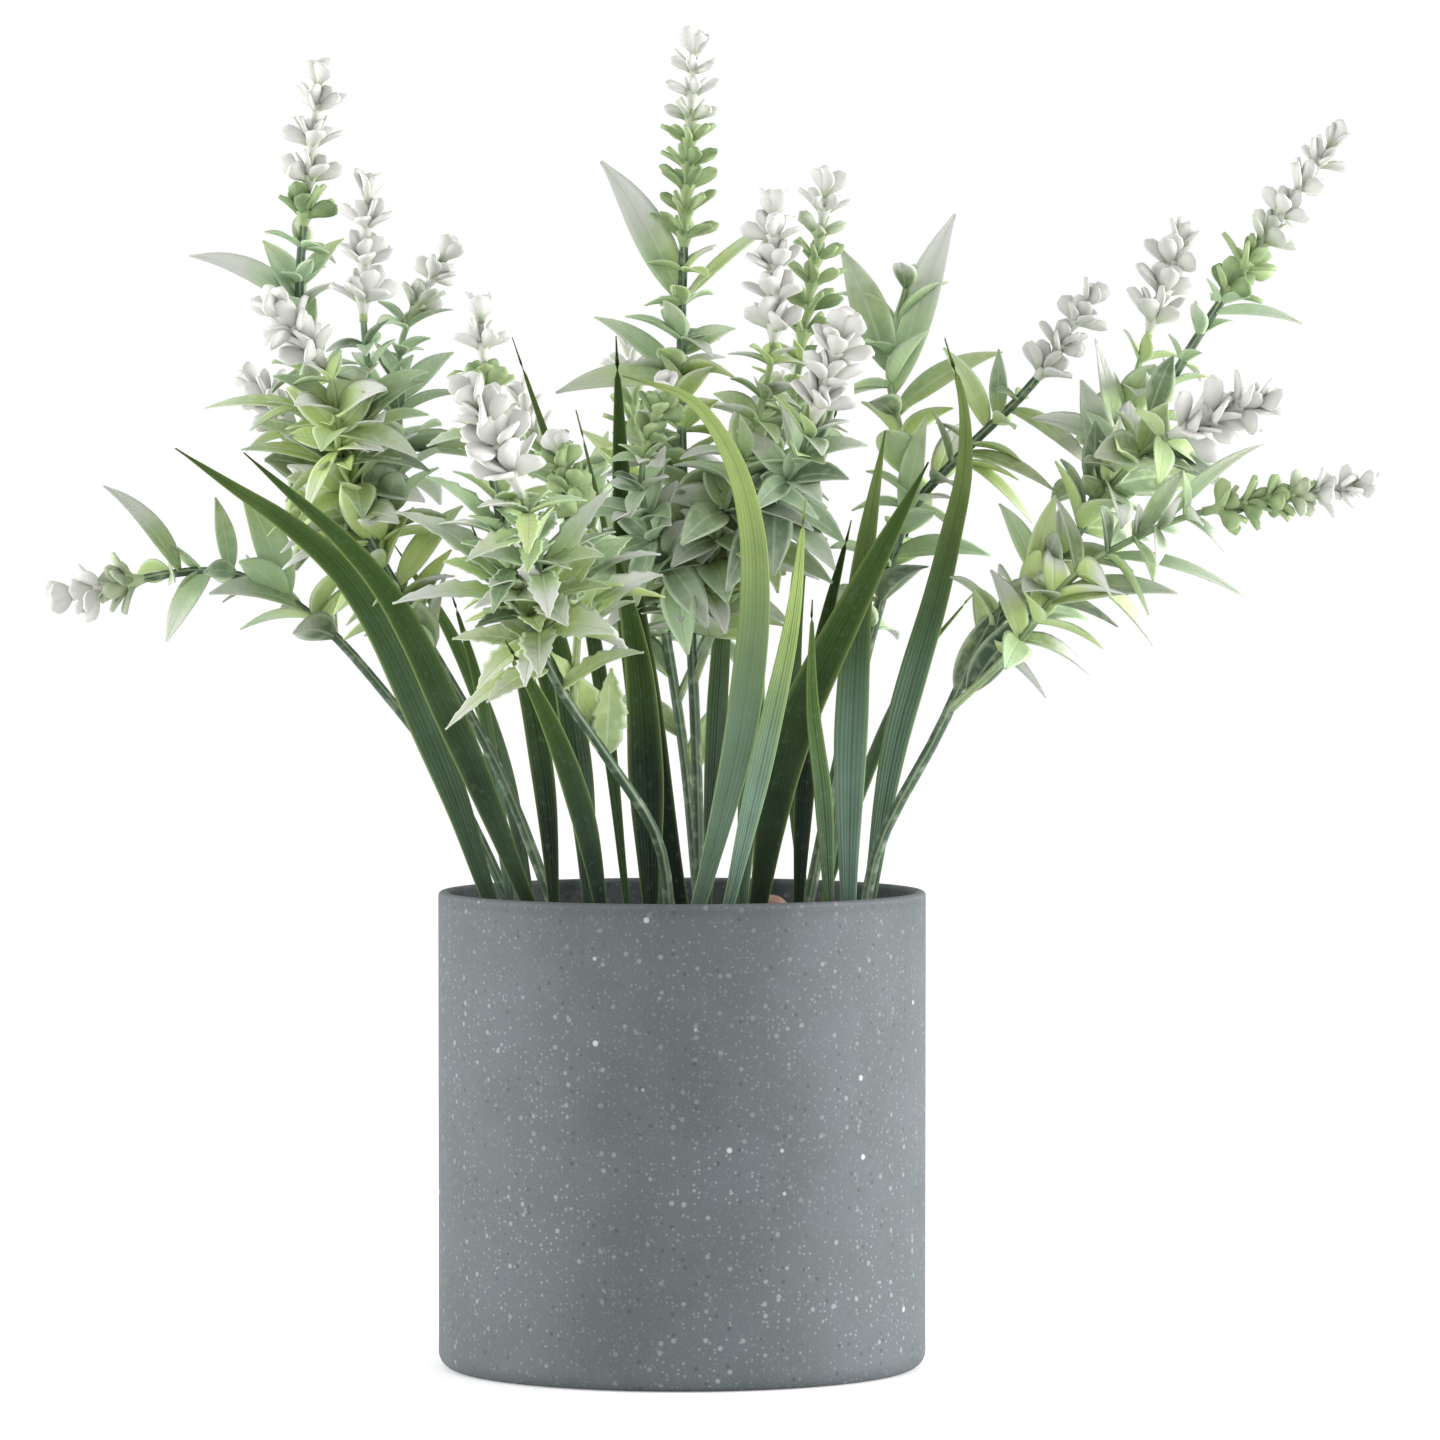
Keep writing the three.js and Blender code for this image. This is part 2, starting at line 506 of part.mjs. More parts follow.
for (const blade of BLADES) {
  part.add(meshOf(`grass_${blade.name}`, bladeGeometry(blade), "blade"));
}
for (const stem of LEAFY_STEMS) {
  part.add(leafyStem(stem));
}

export default part;
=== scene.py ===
"""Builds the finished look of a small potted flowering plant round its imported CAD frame.

Pale flower spikes on leafy stems and long grass blades stand in a speckled pot. Lengths are in metres.
The file is laid out as an add-on: it has settings, one operator for each kind of piece and a panel, and it
builds the whole plant when it is run as a script.
"""

import math
import random

import bmesh
import bpy
from bpy.props import FloatProperty, FloatVectorProperty, PointerProperty
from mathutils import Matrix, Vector
from mathutils.geometry import interpolate_bezier


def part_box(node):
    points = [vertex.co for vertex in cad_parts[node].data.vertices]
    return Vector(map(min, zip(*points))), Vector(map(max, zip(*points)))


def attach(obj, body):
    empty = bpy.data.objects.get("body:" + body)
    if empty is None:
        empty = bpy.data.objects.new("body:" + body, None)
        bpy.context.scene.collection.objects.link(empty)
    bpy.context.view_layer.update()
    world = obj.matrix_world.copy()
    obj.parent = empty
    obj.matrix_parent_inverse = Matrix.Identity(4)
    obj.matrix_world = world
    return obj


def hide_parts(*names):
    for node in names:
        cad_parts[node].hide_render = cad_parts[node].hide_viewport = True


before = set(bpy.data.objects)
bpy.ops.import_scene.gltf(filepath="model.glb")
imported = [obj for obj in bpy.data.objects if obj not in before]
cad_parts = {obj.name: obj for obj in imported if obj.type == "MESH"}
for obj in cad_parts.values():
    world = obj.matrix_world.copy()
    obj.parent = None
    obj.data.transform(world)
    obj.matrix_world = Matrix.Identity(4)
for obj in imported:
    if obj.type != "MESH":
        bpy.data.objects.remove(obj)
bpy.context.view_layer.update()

bl_info = {
    "name": "Potted Flowering Plant",
    "version": (1, 0, 0),
    "blender": (4, 5, 0),
    "location": "View3D > Sidebar > Plant",
    "description": "Builds a potted plant with pale flower spikes, leafy stems and grass blades",
    "category": "Object",
}

MM = 0.001
SEAT_GAP = 0.3 * MM

# The pot and its filling, from the frame.
POT_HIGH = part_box("pot")[1]
SOIL_LOW, SOIL_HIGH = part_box("soil")
POT_RADIUS = POT_HIGH.x
POT_TOP = POT_HIGH.z
INNER_RADIUS = SOIL_HIGH.x + SEAT_GAP
POT_FLOOR = SOIL_LOW.z - SEAT_GAP
SOIL_TOP = SOIL_HIGH.z

# The crown of the plant. Its reach from the pot's axis widens from the roots to the highest tip.
ROOT_REACH = INNER_RADIUS - 5 * MM
CROWN_REACH = 120 * MM
PLANT_HEIGHT = 164 * MM
ROOT_LEVEL = SOIL_TOP + SEAT_GAP
LEAVES_FROM = SOIL_TOP + 52 * MM

FRONT = Vector((0, -1, 0))
UP = Vector((0, 0, 1))

# How light each grass blade is, from 0 for deep green to 1 for pale yellow-green, and how strong the dusty
# blue-green bloom on its lower half is.
BLADE_LOOKS = {
    "outer_left": (0.28, 0.35),
    "second_left": (0.18, 0.15),
    "left_upright": (0.25, 0.5),
    "left_inner": (0.10, 0.1),
    "left_back": (0.15, 0.2),
    "left_slim_tall": (0.35, 0.1),
    "left_slim_short": (0.30, 0.1),
    "left_middle": (0.10, 0.3),
    "dark_tall": (0.00, 0.1),
    "dark_broad": (0.05, 0.15),
    "front_left_low": (0.12, 0.2),
    "centre_arching": (0.72, 0.85),
    "centre_pale": (0.62, 0.95),
    "centre_back": (0.20, 0.3),
    "centre_back_left": (0.15, 0.2),
    "right_broad": (0.14, 0.1),
    "right_upright": (0.40, 1.0),
    "right_arching": (0.45, 0.7),
    "right_inner": (0.02, 0.1),
    "right_inner_low": (0.25, 0.2),
    "right_back": (0.25, 0.3),
    "right_back_tall": (0.45, 0.3),
    "back_middle": (0.30, 0.5),
    "back_left": (0.15, 0.2),
    "back_right": (0.30, 0.4),
}

# How many small leaves each ring on a leafy stem has.
LEAVES_PER_RING = {
    "left": 4,
    "low_left": 2,
    "front_left": 5,
    "centre": 5,
    "centre_right": 2,
    "right": 3,
    "back": 3,
}

# Leafy stems. A branch is (parent, fork, bare, points): a side branch starts on its parent at the share
# named fork, and bare is the share of its length before the flower spike. A point is (across, back, up):
# up is a share of the plant's height, across and back are shares of the crown's reach at that height.
# A leaf is (branch, along, tip, width, paleness): it grows from a branch at the share named along, and its
# tip is so many millimetres right, back and up from there.
LEAFY_STEMS = {
    "left": {
        "branches": [
            (None, 0, 0.83, [(-0.58, 0.05, 0), (-0.64, 0.08, 0.182), (-0.75, 0.03, 0.374),
                (-0.79, 0, 0.52), (-0.75, -0.02, 0.677), (-0.57, -0.05, 0.959)]),
            (0, 0.53, 0.62, [(-0.66, -0.11, 0.599), (-0.61, -0.15, 0.699), (-0.54, -0.17, 0.826)]),
            (0, 0.46, 0.77, [(-0.63, 0.1, 0.554), (-0.56, 0.13, 0.667), (-0.44, 0.14, 0.76)]),
            (0, 0.56, 0.69, [(-0.74, -0.16, 0.576), (-0.72, -0.2, 0.63), (-0.77, -0.23, 0.692)]),
            (0, 0.51, 0.7, [(-0.83, 0.17, 0.519), (-0.85, 0.21, 0.565), (-0.9, 0.25, 0.612)]),
        ],
        "leaves": [
            (0, 0.75, (-7, 6, 12), 6.6, 0.25),
            (0, 0.75, (-20, -4, 9), 6.2, 0.95),
            (0, 0.77, (8, 4, 9), 3.6, 0.2),
            (0, 0.63, (-21, 6, 1), 3, 0.3),
            (0, 0.57, (-17, -5, 3), 3, 0.2),
            (0, 0.53, (-9, -7, -4), 4.5, 0.1),
            (2, 0.51, (10, 5, 9), 4.5, 0.2),
            (0, 0.45, (-10, 9, 9), 5, 0.1),
            (0, 0.42, (12, 8, 15), 5, 0.15),
            (1, 0.29, (11, -8, 7), 4.2, 0.2),
        ],
    },
    "low_left": {
        "branches": [
            (None, 0, 0.88, [(-0.78, 0.26, 0), (-0.84, 0.27, 0.173), (-0.92, 0.25, 0.262),
                (-1.03, 0.22, 0.356), (-1.2, 0.2, 0.404), (-1.63, 0.17, 0.381)]),
        ],
        "leaves": [
            (0, 0.83, (-14, -4, 16), 6, 0.8),
            (0, 0.78, (-8, -6, -13), 5.6, 0.45),
            (0, 0.75, (-3, 4, 14), 4.2, 0.2),
            (0, 0.65, (-9, -3, 21), 7.4, 0.1),
            (0, 0.62, (-17, -9, 3), 8, 0.4),
            (0, 0.59, (13, -4, 8), 4, 0.3),
        ],
    },
    "front_left": {
        "branches": [
            (None, 0, 0.87, [(-0.05, -0.31, 0), (-0.09, -0.36, 0.107), (-0.24, -0.48, 0.198),
                (-0.37, -0.58, 0.291), (-0.42, -0.63, 0.391), (-0.42, -0.59, 0.522),
                (-0.38, -0.53, 0.69)]),
            (0, 0.52, 0.65, [(-0.35, -0.69, 0.424), (-0.37, -0.7, 0.512), (-0.42, -0.69, 0.596)]),
            (0, 0.4, 0.71, [(-0.29, -0.46, 0.334), (-0.24, -0.39, 0.422), (-0.27, -0.31, 0.543)]),
        ],
        "leaves": [
            (0, 0.31, (-10, -6, 19), 7.2, -0.2),
            (0, 0.31, (1, -6, 16), 7.2, -0.15),
            (0, 0.59, (-23, -6, 0), 5.6, 0.7),
            (0, 0.61, (-22, 4, 14), 5.6, 0.4),
            (0, 0.68, (-14, -6, 12), 5.2, 0.2),
            (0, 0.51, (-16, 4, 2), 5.4, 0.3),
            (0, 0.48, (-11, -8, -6), 5.2, 0.4),
            (0, 0.56, (0, -14, 11), 6, 0.8),
            (0, 0.49, (-18, -4, -12), 3.8, 0.5),
            (1, 0.25, (13, -6, 18), 5.6, 0.5),
            (2, 0.35, (15, -8, 8), 6, 0.8),
            (2, 0.27, (4, -9, 10), 5.4, 0.1),
            (1, 0.46, (-12, -10, -4), 5.2, 0.4),
            (0, 0.44, (15, -10, 7), 5, 0.3),
        ],
    },
    "centre": {
        "branches": [
            (None, 0, 0.77, [(0.09, 0.16, 0), (0.05, 0.11, 0.192), (0.02, 0.07, 0.373),
                (0, 0.05, 0.542), (0, 0.03, 0.711), (0.02, 0, 0.997)]),
            (0, 0.28, 0.69, [(0.16, 0, 0.441), (0.23, -0.05, 0.576), (0.24, -0.06, 0.677),
                (0.25, -0.08, 0.837)]),
            (0, 0.35, 0.71, [(0.11, -0.13, 0.487), (0.17, -0.16, 0.599), (0.18, -0.17, 0.677),
                (0.16, -0.16, 0.806)]),
            (1, 0.29, 0.67, [(0.25, -0.2, 0.515), (0.28, -0.26, 0.577), (0.31, -0.28, 0.67)]),
            (0, 0.37, 0.76, [(-0.08, -0.16, 0.454), (-0.09, -0.22, 0.521), (-0.04, -0.25, 0.604)]),
        ],
        "leaves": [
            (0, 0.71, (-15, 2, 26), 7.4, 0.95),
            (0, 0.62, (-16, 4, 12), 4.6, 0.3),
            (0, 0.62, (-23, -6, -2), 5.2, 0.4),
            (0, 0.41, (-17, -7, 6), 7.4, 0.15),
            (0, 0.71, (21, 10, 16), 2.6, 0.4),
            (0, 0.65, (10, 6, 5), 4.6, 0.3),
            (1, 0.29, (16, -6, -7), 5.4, 0.2),
            (2, 0.39, (15, -8, -7), 5, 0.2),
            (0, 0.52, (-13, 8, 7), 4.6, 0.2),
            (4, 0.5, (-10, -6, 3), 4.6, 0.3),
            (1, 0.53, (12, 6, -3), 4.8, 0.2),
        ],
    },
    "centre_right": {
        "branches": [
            (None, 0, 0.86, [(0.59, 0.21, 0), (0.54, 0.19, 0.191), (0.54, 0.18, 0.35),
                (0.55, 0.16, 0.469), (0.63, 0.1, 0.537), (0.73, 0.05, 0.616), (0.78, 0.02, 0.709)]),
            (0, 0.59, 1, [(0.49, 0.2, 0.553), (0.43, 0.21, 0.633), (0.43, 0.22, 0.752)]),
        ],
        "leaves": [
            (1, 0.58, (-9, 4, 23), 7.4, 0.3),
            (1, 0.49, (12, 8, 34), 7.6, 0.7),
            (1, 0.43, (20, 4, 11), 5, 0.2),
            (0, 0.59, (4, -7, 20), 5, 0.2),
            (0, 0.54, (18, -3, 0), 5.4, 0.1),
            (0, 0.72, (17, -6, -7), 3.6, 0.3),
            (0, 0.71, (14, 2, -12), 3.6, 0.3),
            (0, 0.81, (16, 5, -11), 4.6, 0.5),
            (0, 0.77, (-8, 4, 15), 5, 0.2),
            (0, 0.79, (0, -6, 13), 3.6, 0.2),
        ],
    },
    "right": {
        "branches": [
            (None, 0, 0.78, [(0.87, -0.21, 0), (0.78, -0.2, 0.093), (0.83, -0.19, 0.227),
                (0.85, -0.18, 0.337), (0.95, -0.17, 0.42), (0.99, -0.14, 0.526), (1.02, -0.1, 0.683),
                (1.08, -0.05, 0.892)]),
            (0, 0.26, 0.69, [(0.93, -0.31, 0.316), (1, -0.37, 0.405), (1.11, -0.4, 0.45),
                (1.22, -0.42, 0.475), (1.55, -0.43, 0.506)]),
            (0, 0.5, 0.71, [(0.96, 0.02, 0.554), (0.93, 0.07, 0.661), (0.91, 0.08, 0.773)]),
            (0, 0.54, 0.55, [(1.03, -0.27, 0.549), (1.1, -0.31, 0.571), (1.2, -0.32, 0.597)]),
        ],
        "leaves": [
            (0, 0.28, (8, -5, 16), 6, -0.6),
            (1, 0.06, (13, -4, 15), 6.4, -0.6),
            (0, 0.77, (16, -6, -2), 2.6, 0.4),
            (2, 0.36, (-4, -4, 19), 4.6, 0.8),
            (1, 0.59, (20, 9, 15), 2.8, 0.5),
            (1, 0.46, (26, -4, -7), 3.4, 0.4),
            (1, 0.32, (23, -8, 2), 5.2, 0.4),
            (0, 0.42, (4, -6, 17), 5, 0.2),
            (0, 0.37, (12, 7, 2), 4.6, 0.3),
            (0, 0.58, (-6, 6, 10), 4.6, 0.2),
            (1, 0.55, (9, 6, 12), 3.6, 0.3),
            (0, 0.43, (-7, 8, 14), 4.6, 0.2),
        ],
    },
    "back": {
        "branches": [
            (None, 0, 0.84, [(0.09, 0.63, 0), (0.01, 0.6, 0.186), (-0.06, 0.63, 0.368),
                (-0.1, 0.67, 0.518), (-0.11, 0.7, 0.657)]),
            (0, 0.37, 0.72, [(0.13, 0.66, 0.391), (0.21, 0.71, 0.529), (0.25, 0.74, 0.658)]),
            (0, 0.51, 0.68, [(-0.21, 0.76, 0.436), (-0.31, 0.82, 0.517), (-0.36, 0.83, 0.599)]),
        ],
        "leaves": [
            (0, 0.41, (-13, 8, 11), 5.6, 0.2),
            (0, 0.6, (11, 9, 13), 5.4, 0.2),
            (0, 0.73, (-12, 6, 13), 5, 0.2),
            (1, 0.46, (14, 8, 0), 5.6, 0.2),
            (1, 0.36, (-8, 8, 18), 5, 0.2),
            (2, 0.35, (-11, 9, -7), 5.2, 0.2),
            (2, 0.5, (4, 10, 17), 4.6, 0.2),
            (0, 0.24, (10, 14, 16), 5.6, 0.2),
            (0, 0.31, (-13, 14, 7), 5.6, 0.2),
        ],
    },
}
# Flower spikes: how far apart the rings of florets are in millimetres, how large the petals are against the
# usual ones, and the share of the spike's length above which the florets are white.
USUAL_SPIKE = (5.0, 1.2, 0.5)
SPIKE_LOOKS = {
    "left_1": (8.0, 1.3, 0.3),
    "left_2": (7.2, 1.35, 0.05),
    "left_3": (7.0, 1.15, 0.2),
    "left_4": (6.6, 1.5, -0.1),
    "left_5": (6.4, 1.3, -0.1),
    "low_left_1": (6.4, 1.4, 0.25),
    "front_left_1": (7.0, 1.3, 0.35),
    "front_left_2": (6.8, 1.6, -0.1),
    "front_left_3": (5.2, 1.1, 0.9),
    "centre_1": (4.6, 1.3, 0.66),
    "centre_2": (4.6, 1.3, 0.75),
    "centre_3": (6.6, 1.35, 0.0),
    "centre_4": (6.6, 1.5, -0.1),
    "centre_5": (5.2, 1.2, 0.8),
    "centre_right_1": (7.0, 1.2, 0.05),
    "right_1": (6.0, 1.3, 0.4),
    "right_2": (5.2, 1.1, 0.6),
    "right_3": (6.6, 1.4, -0.1),
    "right_4": (6.4, 1.5, -0.1),
}


# ---------------------------------------------------------------- lines that pieces follow


def smooth_line(points, detail=12):
    """Points along a centripetal Catmull-Rom curve through the given ones."""
    first = points[0] * 2 - points[1]
    last = points[-1] * 2 - points[-2]
    padded = [first, *points, last]
    line = [points[0].copy()]
    for before, here, there, after in zip(padded, padded[1:], padded[2:], padded[3:]):
        entry = math.sqrt((here - before).length)
        span = math.sqrt((there - here).length)
        leave = math.sqrt((after - there).length)
        lead = (here - before) / entry - (there - before) / (entry + span) + (there - here) / span
        trail = (there - here) / span - (after - here) / (span + leave) + (after - there) / leave
        lead_end = here + lead * (span / 3)
        trail_end = there - trail * (span / 3)
        line.extend(interpolate_bezier(here, lead_end, trail_end, there, detail)[1:])
    return line


class Route:
    """A line walked by shares of its length, from 0 at its start to 1 at its end."""

    def __init__(self, line):
        self.line = line
        self.marks = [0.0]
        for here, there in zip(line, line[1:]):
            self.marks.append(self.marks[-1] + (there - here).length)
        self.length = self.marks[-1]

    def _step(self, share):
        walked = min(max(share, 0.0), 1.0) * self.length
        last = len(self.line) - 2
        step = 0
        while step < last and self.marks[step + 1] < walked:
            step += 1
        span = self.marks[step + 1] - self.marks[step]
        return step, (walked - self.marks[step]) / span

    def at(self, share):
        step, part = self._step(share)
        return self.line[step].lerp(self.line[step + 1], part)

    def heading(self, share):
        ahead = self.at(min(share + 0.02, 1.0)) - self.at(max(share - 0.02, 0.0))
        return ahead.normalized()

    def stretch(self, start, end, steps=16):
        return Route([self.at(start + (end - start) * i / steps) for i in range(steps + 1)])


def bowed_route(base, tip, bow, steps=10):
    """A line from base to tip that bulges by about half the bow vector."""
    middle = (base + tip) / 2 + bow
    lead = base.lerp(middle, 2 / 3)
    trail = tip.lerp(middle, 2 / 3)
    return Route(interpolate_bezier(base, lead, trail, tip, steps))


def crown_point(across, back, up):
    """A point of the plan, in metres."""
    reach = ROOT_REACH + (CROWN_REACH - ROOT_REACH) * up
    return Vector((across * reach, back * reach, ROOT_LEVEL + up * PLANT_HEIGHT))


def branch_routes(branches):
    """The route of every branch of a leafy stem, parents first."""
    routes = []
    for parent, fork, _bare, plan in branches:
        points = [crown_point(*place) for place in plan]
        if parent is not None:
            points.insert(0, routes[parent].at(fork))
        routes.append(Route(smooth_line(points)))
    return routes


def read_rings(node, corners):
    """The rings of corners that a bar in the frame was built from, root end first."""
    bm = bmesh.new()
    bm.from_mesh(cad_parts[node].data)
    bmesh.ops.remove_doubles(bm, verts=bm.verts[:], dist=0.001 * MM)
    ends = [v for v in bm.verts if len(v.link_edges) == corners]
    if len(ends) != 2:
        raise ValueError(f"{node} isn't a bar with {corners} corners")
    soil_middle = Vector((0, 0, SOIL_TOP))
    ring = [min(ends, key=lambda v: (v.co - soil_middle).length)]
    seen = set(ring)
    rings = []
    while ring:
        neighbours = (e.other_vert(v) for v in ring for e in v.link_edges)
        ring = list(dict.fromkeys(v for v in neighbours if v not in seen))
        seen.update(ring)
        if len(ring) == corners:
            rings.append([v.co.copy() for v in ring])
    bm.free()
    return rings


def middle_of(ring):
    return sum(ring, Vector()) / len(ring)


def interpolate(values, share):
    """A value from evenly spaced ones."""
    place = min(max(share, 0.0), 1.0) * (len(values) - 1)
    low = min(int(place), len(values) - 2)
    return values[low] + (values[low + 1] - values[low]) * (place - low)


def smoothstep(value, low, high):
    part = min(max((value - low) / (high - low), 0.0), 1.0)
    return part * part * (3 - 2 * part)


# ---------------------------------------------------------------- mesh building


# What a material can read at each corner of a grown piece: its place across the piece from -1 to 1 and
# along it from 0 to 1, how pale it is and the tone of its leaf, both from 0 to 1.
MARKS = ("across", "along", "pale", "tone")

# How many corners a bar has round it and how many steps along it.
BLADE_DETAIL = (12, 44)
STEM_DETAIL = (8, 24)
LARGE_LEAF_DETAIL = (10, 14)
LARGE_TOOTHED_DETAIL = (8, 26)
SMALL_LEAF_DETAIL = (8, 9)
SMALL_TOOTHED_DETAIL = (8, 16)
SPIKE_AXIS_DETAIL = (6, 16)
BUD_DETAIL = (7, 4)
PETAL_DETAIL = (6, 8)


def new_growth():
    """An empty bmesh that grown pieces are added to."""
    bm = bmesh.new()
    for mark in MARKS:
        bm.verts.layers.float.new(mark)
    return bm


def add_bar(
    bm, route, detail, half_width, half_depth, facing, fold=0.0, pale=None, tone=0.5, rim=1.0
):
    """Adds a closed bar bent along a route.

    half_width, half_depth, facing and pale are functions of the share along the route. Facing is where the
    flat side looks, fold raises both edges by that share of the half width, and rim is the mark across the
    bar that its edges get.
    """
    sides, steps = detail
    made = bmesh.ops.create_cone(
        bm, cap_ends=True, cap_tris=False, segments=sides, radius1=1, radius2=1, depth=1
    )
    edges = dict.fromkeys(e for v in made["verts"] for e in v.link_edges)
    long_edges = [e for e in edges if abs(e.verts[0].co.z - e.verts[1].co.z) > 0.5]
    cut = bmesh.ops.subdivide_edges(bm, edges=long_edges, cuts=steps - 1)
    inner = [item for item in cut["geom_inner"] if isinstance(item, bmesh.types.BMVert)]
    verts = dict.fromkeys(e.other_vert(v) for v in inner for e in v.link_edges)
    verts.update(dict.fromkeys(inner))
    layers = [bm.verts.layers.float[mark] for mark in MARKS]
    stations = {}
    for vert in verts:
        x, y, z = vert.co
        key = round((z + 0.5) * steps)
        if key not in stations:
            along = key / steps
            ahead = route.heading(along)
            side = facing(along).cross(ahead).normalized()
            stations[key] = (
                along, route.at(along), side, ahead.cross(side), half_width(along), half_depth(along)
            )
        along, centre, side, front, wide, deep = stations[key]
        vert.co = centre + side * (x * wide) + front * (y * deep + fold * abs(x) * wide)
        paleness = pale(along) if pale else 0.0
        for layer, value in zip(layers, (x * rim, along, paleness, tone)):
            vert[layer] = value


def finished_piece(name, bm, material, smooth=True):
    """A new object of the mesh built so far."""
    mesh = bpy.data.meshes.new(name)
    bm.to_mesh(mesh)
    bm.free()
    mesh.materials.append(material)
    for polygon in mesh.polygons:
        polygon.use_smooth = smooth
    piece = bpy.data.objects.new(name, mesh)
    bpy.context.scene.collection.objects.link(piece)
    return piece


def hand_over(piece, slot, *nodes):
    """Puts a piece in place of the CAD nodes that it stands for."""
    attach(piece, "root")
    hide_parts(*nodes)


# ---------------------------------------------------------------- materials


class Wire:
    """A number that varies over a surface. Expressions on wires add their Math nodes."""

    def __init__(self, finish, socket):
        self.finish = finish
        self.socket = socket

    def math(self, operation, *others):
        inputs = {i + 1: other for i, other in enumerate(others)}
        inputs[0] = self
        return self.finish.wire("ShaderNodeMath", {"operation": operation}, inputs)

    def flipped(self, operation, other):
        return self.finish.wire("ShaderNodeMath", {"operation": operation}, {0: other, 1: self})

    def __add__(self, other):
        return self.math("ADD", other)

    __radd__ = __add__

    def __sub__(self, other):
        return self.math("SUBTRACT", other)

    def __rsub__(self, other):
        return self.flipped("SUBTRACT", other)

    def __mul__(self, other):
        return self.math("MULTIPLY", other)

    __rmul__ = __mul__

    def __pow__(self, other):
        return self.math("POWER", other)

    def __abs__(self):
        return self.math("ABSOLUTE")

    def __lt__(self, other):
        return self.math("LESS_THAN", other)

    def sine(self):
        return self.math("SINE")

    def ramp(self, low, high):
        """0 below low and 1 above high, with a soft step between."""
        settings = {"interpolation_type": "SMOOTHSTEP"}
        inputs = {"Value": self, "From Min": low, "From Max": high}
        return self.finish.wire("ShaderNodeMapRange", settings, inputs)


class Finish:
    """A procedural material with one Principled shader."""

    def __init__(self, name, **uniform):
        self.material = bpy.data.materials.new(name)
        self.material.use_nodes = True
        self.tree = self.material.node_tree
        self.shader = self.tree.nodes["Principled BSDF"]
        for socket, value in uniform.items():
            self.shader.inputs[socket.replace("_", " ")].default_value = value

    def node(self, kind, settings=None, inputs=None):
        """Adds a node: its settings first, then the values or wires of its sockets."""
        node = self.tree.nodes.new(kind)
        for setting, value in (settings or {}).items():
            setattr(node, setting, value)
        for key, value in (inputs or {}).items():
            self.feed(node.inputs[key], value)
        return node

    def feed(self, socket, value):
        if isinstance(value, Wire):
            self.tree.links.new(value.socket, socket)
        else:
            socket.default_value = value

    def wire(self, kind, settings=None, inputs=None, output=0):
        return Wire(self, self.node(kind, settings, inputs).outputs[output])

    def place(self):
        return self.wire("ShaderNodeTexCoord", output="Object")

    def mark(self, name):
        """What the piece's corners say under a name."""
        return self.wire("ShaderNodeAttribute", {"attribute_name": name}, output="Fac")

    def noise(self, size, detail=3.0):
        """Soft random patches about so many metres across."""
        inputs = {"Vector": self.place(), "Scale": 1 / size, "Detail": detail}
        return self.wire("ShaderNodeTexNoise", None, inputs)

    def specks(self, spacing, radius, share):
        """Dots of a radius, in that share of the cells of a grid of a spacing, all in metres."""
        cells = self.node("ShaderNodeTexVoronoi", None, {"Vector": self.place(), "Scale": 1 / spacing})
        chance = self.wire("ShaderNodeSeparateColor", None, {0: Wire(self, cells.outputs["Color"])})
        reach = Wire(self, cells.outputs["Distance"])
        inside = 1 - reach.ramp(0.7 * radius / spacing, 1.3 * radius / spacing)
        return inside * (chance < share)

    def mix(self, factor, first, second):
        """A colour between two colours."""
        first = first if isinstance(first, Wire) else (*first, 1.0)
        second = second if isinstance(second, Wire) else (*second, 1.0)
        return self.wire("ShaderNodeMix", {"data_type": "RGBA"}, {0: factor, 6: first, 7: second}, 2)

    def bump(self, height, depth, strength=1.0):
        inputs = {"Height": height, "Distance": depth, "Strength": strength}
        self.feed(self.shader.inputs["Normal"], self.wire("ShaderNodeBump", None, inputs))

    def colour(self, value):
        self.feed(self.shader.inputs["Base Color"], value)

    def roughness(self, value):
        self.feed(self.shader.inputs["Roughness"], value)


